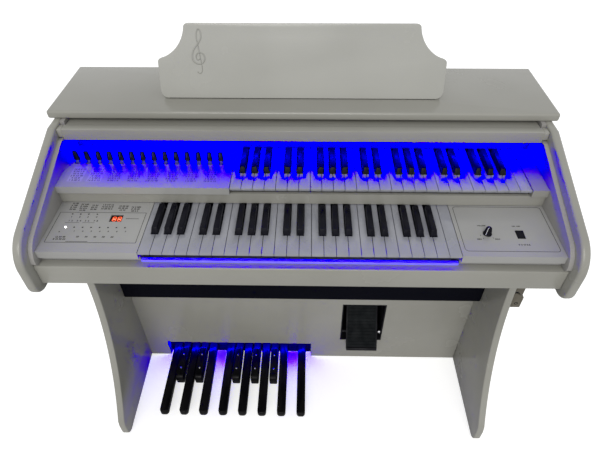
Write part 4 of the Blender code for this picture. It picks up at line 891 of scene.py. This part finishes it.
# Pedalboard. Black lacquered wooden levers, C to C, worn where the feet slide, with raised and
# screwed-on sharps, held at their back ends in a black floor frame behind the knee panel.
PEDAL_EDGE = 0.0035
PEDAL_NOSE = 0.009
SHARP_STEM = 0.022
SHARP_CAP_BACK = 0.236 - KEY_Y
SHARP_CAP_DROP = 0.012
SCREW_SHARES = (0.30, 0.72)
SCREW_RADIUS = 0.0024
SCREW_SQUASH = (1.0, 1.0, 0.0012 / SCREW_RADIUS)
pedal_black = drifting("pedal_black_lacquer", 0.25, (26.0, 6.0, (1.0, 0.25, 1.0)), (0.0025, 0.0025, 0.0035),
                       (0.009, 0.0085, 0.0085), ((60.0, 6.0, (1.0, 0.2, 1.0)), 0.14, 0.45),
                       ((300.0, 3.0, (1.0, 0.15, 1.0)), 0.0003, 0.10), (0.4, 0.75), specular=0.08)
for body in frame["bodies"]:
    if not body.startswith("pedal_"):
        continue
    low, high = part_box(body)
    if body.endswith("_sharp"):
        stem_top, back = low.z + SHARP_STEM, SHARP_CAP_BACK
        outline = [(low.y + 0.003, low.z), (high.y, low.z), (high.y, stem_top), (back + 0.006, stem_top),
                   (back + 0.003, stem_top + 0.003), (back - 0.003, high.z - 0.003), (back - 0.009, high.z),
                   (low.y + 0.014, high.z), (low.y + 0.006, high.z - 0.0018),
                   (low.y + 0.0015, high.z - 0.006), (low.y, high.z - SHARP_CAP_DROP)]
        lever = round_edges(extrude(outline, low.x, high.x, "x"), PEDAL_EDGE - 0.0005, 3, 50.0)
        screws = bmesh.new()
        for share in SCREW_SHARES:
            y = low.y + share * (back - low.y)
            dome(screws, ((low.x + high.x) / 2, y, high.z - 0.0002), SCREW_RADIUS, SCREW_SQUASH)
        make_piece(body + "_screws", screws, bright_steel, body)
    else:
        plan = bow((low.x + PEDAL_NOSE, low.y + PEDAL_NOSE), PEDAL_NOSE, 180.0, 270.0, 8)
        plan += bow((high.x - PEDAL_NOSE, low.y + PEDAL_NOSE), PEDAL_NOSE, 270.0, 360.0, 8)
        plan += [(high.x, high.y), (low.x, high.y)]
        lever = round_edges(extrude(plan, low.z, high.z, "z"), PEDAL_EDGE, 3, 50.0)
    make_piece(body + "_lever", lever, pedal_black, body, [body])
frame_black = drifting("frame_black_paint", 0.5, (18.0, 5.0), (0.005, 0.005, 0.0065), (0.013, 0.013, 0.016),
                       ((40.0, 4.0), 0.4, 0.65), ((500.0, 3.0), 0.0003, 0.25), specular=0.1)
dress(frame_black, "pedal_frame", "swell_tray")

# Swell pedal. A black foot plate with a ribbed rubber mat and a heel stop, tilting on a cross
# pin inside a black tray that is let into the knee panel, with a bright bolt head at its side.
SWELL_TILT = 52.0
SWELL_LONG = 0.190
SWELL_THICK = 0.006
SWELL_CORNER = 0.006
SWELL_ROUND = 0.0012
SWELL_HEEL = (0.203 - KEY_Y, 0.098)
SWELL_AXLE = (0.252 - KEY_Y, 0.130)
MAT_UNDER = 0.0012
EAR_HALF = 0.020
RIB_COUNT = 17
RIB_HALF = 0.0016
BOLT_OUT = 0.0065
low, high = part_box("swell_pedal")
swell_place = leant((0.0, SWELL_HEEL[0], SWELL_HEEL[1]), SWELL_TILT)
plate_plan = rounded_plan(low.x, high.x, 0.0, SWELL_LONG, SWELL_CORNER, 5)
plate = round_edges(extrude(plate_plan, -SWELL_THICK, -MAT_UNDER, "z"), SWELL_ROUND, 2, 60.0)
heel = extrude(square(low.x + 0.001, high.x - 0.001, 0.0005, 0.009), -MAT_UNDER, 0.0036, "z")
gather(plate, round_edges(heel, SWELL_ROUND, 2))
plate.transform(swell_place)
middle = (low.x + high.x) / 2
ear = bow(SWELL_AXLE, 0.0080, SWELL_TILT + 200.0, SWELL_TILT + 340.0, 12)
for along in (0.105, 0.020):
    corner = swell_place @ Vector((0.0, along, -SWELL_THICK + 0.0005))
    ear.append((corner.y, corner.z))
gather(plate, extrude(ear, middle - EAR_HALF, middle + EAR_HALF, "x"))
make_piece("swell_plate", plate, frame_black, "swell_pedal", ["swell_pedal"])
rubber_mat = drifting("rubber_mat", 0.6, (35.0, 5.0), (0.0040, 0.0050, 0.0060), (0.0090, 0.0105, 0.0120),
                      ((50.0, 5.0), 0.42, 0.70), ((900.0, 3.0), 0.0003, 0.3), specular=0.05)
mat = extrude(square(low.x + 0.004, high.x - 0.004, 0.012, SWELL_LONG - 0.004), -MAT_UNDER, -0.0004, "z")
for k in range(RIB_COUNT):
    s = 0.017 + k * (SWELL_LONG - 0.026) / (RIB_COUNT - 1)
    rib = extrude(square(low.x + 0.006, high.x - 0.006, s - RIB_HALF, s + RIB_HALF), -0.0006, 0.0004, "z")
    gather(mat, round_edges(rib, 0.0004, 1))
mat.transform(swell_place)
make_piece("swell_mat", mat, rubber_mat, "swell_pedal")
bolt_x = high.x + BOLT_OUT
bolt_centre = (SWELL_AXLE[0] - 0.004, SWELL_AXLE[1] + 0.004)
hexagon = bow(bolt_centre, 0.0052, 0.0, 300.0, 5)
bolt = round_edges(extrude(hexagon, bolt_x - 0.0030, bolt_x + 0.0015, "x"), 0.0005, 2)
washer = bow(bolt_centre, 0.0070, 0.0, 345.0, 23)
gather(bolt, extrude(washer, bolt_x + 0.0015, bolt_x + 0.0026, "x"))
make_piece("swell_bolt", bolt, bright_steel, "console")

# Jack box. A small two-part box of board under the console's right end, screwed to the leg, with a
# slanting open joint between its wider lower block and the narrower upper one. Its dark tan is painted
# shade from the console above on board that is off-white like the case, and a black block in the joint
# is painted shade.
JACK_UPPER_WIDTH = 0.0205
JACK_NECK = 0.009
JACK_SEAM = (0.051, 0.038)
JACK_JOINT = 0.007
JACK_ROUND = 0.0020
JACK_SOCKET = (0.013, 0.016)
low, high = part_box("jack_box")
# The box's dark tan stands in for the shade under the console: painted shade on board that is off-white like
# the case.
tan_painted_shade_board = drifting("tan_painted_shade_board", 0.55, (30.0, 6.0, (1.0, 1.0, 0.3)), (0.085, 0.075, 0.055),
                     (0.14, 0.125, 0.095), bump=((260.0, 4.0, (1.0, 1.0, 0.2)), 0.0004, 0.3))
inner, outer = low.z + JACK_SEAM[0], low.z + JACK_SEAM[1]
neck, upper_x = low.x + JACK_NECK - 0.002, low.x + JACK_UPPER_WIDTH
lower_block = [(low.x, low.z), (high.x, low.z), (high.x, outer), (neck, inner), (low.x, inner)]
upper_block = [(low.x, inner + JACK_JOINT), (neck, inner + JACK_JOINT), (upper_x, outer + JACK_JOINT),
               (upper_x, high.z), (low.x, high.z)]
jack = bmesh.new()
for block in (lower_block, upper_block):
    gather(jack, round_edges(extrude(block, low.y, high.y, "y"), JACK_ROUND, 3))
make_piece("jack_halves", jack, tan_painted_shade_board, "console", ["jack_box"])
# A black block inside the open joint, painted shade in the gap, with a black socket on the lower block's
# front.
joint = extrude(square(low.x, low.x + JACK_NECK, inner - 0.002, inner + JACK_JOINT + 0.002), low.y + 0.003,
                high.y - 0.003, "y")
socket = turned([(0.0046, -0.0012), (0.0046, 0.0), (0.0030, 0.0004), (0.0022, -0.0004)], 24)
socket.transform(leant((low.x + JACK_SOCKET[0], low.y, low.z + JACK_SOCKET[1]), 90.0))
gather(joint, socket)
make_piece("jack_joint_shade_and_socket", joint, frame_black, "console")

# Light strips. Blue lamps on tape behind frosted silicone: under the top board on the nameboard,
# under the lips of the lower keys, and in the head of the pedal opening. Each row gives a lamp's
# power, place, length and width, and lean; cover, gap and sill spread the glow of their strips.
STRIP_LIGHTS = {"upper": (2.0, (0.0, 0.2785 - KEY_Y, 0.8155), (0.990, 0.004), 45.0),
                "cover": (1.5, (0.0, 0.2600 - KEY_Y, 0.8250), (0.960, 0.024), 30.0),
                "lower": (0.12, (0.0, 0.0085 - KEY_Y, 0.7290), (0.606, 0.003), 25.0),
                "gap": (0.08, (0.0, 0.0230 - KEY_Y, 0.7212), (0.606, 0.018), 180.0),
                "sill": (0.08, (0.0, 0.0260 - KEY_Y, 0.7310), (0.606, 0.020), 0.0),
                "pedal": (2.2, (-0.1972, 0.2500 - KEY_Y, 0.0650), (0.440, 0.004), 20.0)}
LAMP_BLUE = (-0.21, -0.30, 1.0)
SILICONE_GLOW = 0.70
SILICONE_ROUND = 0.0012
silicone_blue = drifting("silicone_lit_blue", 0.35, (40.0, 2.0, (1.0, 0.0, 0.0)), (0.24, 0.20, 0.40),
                         (0.29, 0.25, 0.46))
lit(silicone_blue, (0.0, 0.0, 1.0), SILICONE_GLOW)


def strip_lamp(name, power, place, size, lean):
    """A strip's own light, in the deep blue of its lamps, which lies outside a screen's range."""
    lamp = bpy.data.lights.new(name, "AREA")
    lamp.shape = "RECTANGLE"
    lamp.size, lamp.size_y = size
    lamp.energy = power
    lamp.use_nodes = True
    lamp_tree = lamp.node_tree
    glow = next(part for part in lamp_tree.nodes if part.type == "EMISSION")
    blue = lamp_tree.nodes.new("ShaderNodeCombineXYZ")
    for socket, amount in zip(blue.inputs, LAMP_BLUE):
        socket.default_value = amount
    lamp_tree.links.new(blue.outputs["Vector"], glow.inputs["Color"])
    holder = stand(name, lamp)
    holder.location = place
    holder.rotation_euler = (math.radians(-lean), 0.0, 0.0)


for strip, lamp_row in STRIP_LIGHTS.items():
    strip_lamp(strip + "_strip_light", *lamp_row)
for strip in ("upper", "lower", "pedal"):
    tape = strip + "_light_strip"
    low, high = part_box(tape)
    tube = extrude(square(low.y, high.y, low.z, high.z), low.x, high.x, "x")
    round_edges(tube, SILICONE_ROUND, 3, 60.0)
    make_piece(strip + "_strip_silicone", tube, silicone_blue, "console", [tape])

# Stage. A pale floor under plain soft light, the photograph's camera, and a white surround.
# Floor and surround look white to the camera, and light the organ as softly as the photograph.
CAMERA_PLACE = (0.0165, -0.8583, 1.4088)
CAMERA_DOWN = 43.2588
CAMERA_TURN = 1.2825
CAMERA_ROLL = -0.3226
CAMERA_LENS = 29.62
CAMERA_SENSOR = 36.0
FLOOR_HALF = 6.0
FLOOR_DROP = 0.0005
FLOOR_TONE = 0.70
FLOOR_LIFT = 0.62
SURROUND_LIGHT = 0.56
SUN_HEIGHT = 38.0
SUN_TURN = -5.0
SUN_POWER = 1.50
SUN_SPREAD = 36.0
stage_floor = bmesh.new()
bmesh.ops.create_grid(stage_floor, x_segments=1, y_segments=1, size=FLOOR_HALF)
floor_mesh = bpy.data.meshes.new("stage_floor")
stage_floor.to_mesh(floor_mesh)
stage_floor.free()
floor = stand("stage_floor", floor_mesh)
floor.location.z = -FLOOR_DROP
floor_white = bpy.data.materials.new("floor_white")
floor_white.use_nodes = True
tree = floor_white.node_tree
tree.nodes.clear()
ray = tree.nodes.new("ShaderNodeLightPath")
matte = tree.nodes.new("ShaderNodeBsdfDiffuse")
matte.inputs["Color"].default_value = (FLOOR_TONE, FLOOR_TONE, FLOOR_TONE, 1.0)
lift = tree.nodes.new("ShaderNodeEmission")
lift.inputs["Color"].default_value = (FLOOR_LIFT, FLOOR_LIFT, FLOOR_LIFT, 1.0)
both = tree.nodes.new("ShaderNodeAddShader")
result = tree.nodes.new("ShaderNodeOutputMaterial")
tree.links.new(ray.outputs["Is Camera Ray"], lift.inputs["Strength"])
tree.links.new(matte.outputs["BSDF"], both.inputs[0])
tree.links.new(lift.outputs["Emission"], both.inputs[1])
tree.links.new(both.outputs["Shader"], result.inputs["Surface"])
floor_mesh.materials.append(floor_white)

world = bpy.data.worlds.new("white_surround")
scene = bpy.context.scene
scene.world = world
world.use_nodes = True
tree = world.node_tree
tree.nodes.clear()
ray = tree.nodes.new("ShaderNodeLightPath")
seen = ray.outputs["Is Camera Ray"]
for kind in ("Is Glossy Ray", "Is Transmission Ray"):
    either = tree.nodes.new("ShaderNodeMath")
    either.operation = "MAXIMUM"
    tree.links.new(seen, either.inputs[0])
    tree.links.new(ray.outputs[kind], either.inputs[1])
    seen = either.outputs["Value"]
choice = tree.nodes.new("ShaderNodeMixShader")
tree.links.new(seen, choice.inputs["Fac"])
for i, colour, strength in ((1, (0.96, 0.98, 1.0), SURROUND_LIGHT), (2, (1.0, 1.0, 1.0), 1.0)):
    surround = tree.nodes.new("ShaderNodeBackground")
    surround.inputs["Color"].default_value = (*colour, 1.0)
    surround.inputs["Strength"].default_value = strength
    tree.links.new(surround.outputs["Background"], choice.inputs[i])
result = tree.nodes.new("ShaderNodeOutputWorld")
tree.links.new(choice.outputs["Shader"], result.inputs["Surface"])

sun = bpy.data.lights.new("front_light", "SUN")
sun.energy = SUN_POWER
sun.angle = math.radians(SUN_SPREAD)
sun.color = (1.0, 0.985, 0.94)
sun_holder = stand("front_light", sun)
sun_holder.rotation_euler = (math.radians(90.0 - SUN_HEIGHT), 0.0, math.radians(SUN_TURN))
sun_holder.location = (0.0, -2.0, 2.5)

camera_data = bpy.data.cameras.new("photo_camera")
camera_data.lens = CAMERA_LENS
camera_data.sensor_width = CAMERA_SENSOR
camera = stand("photo_camera", camera_data)
camera.matrix_world = (leant(CAMERA_PLACE, CAMERA_TURN, "Z")
                       @ Matrix.Rotation(math.radians(90.0 - CAMERA_DOWN), 4, "X")
                       @ Matrix.Rotation(math.radians(CAMERA_ROLL), 4, "Z"))
scene.camera = camera
scene.view_settings.view_transform = "Standard"

bpy.context.view_layer.update()
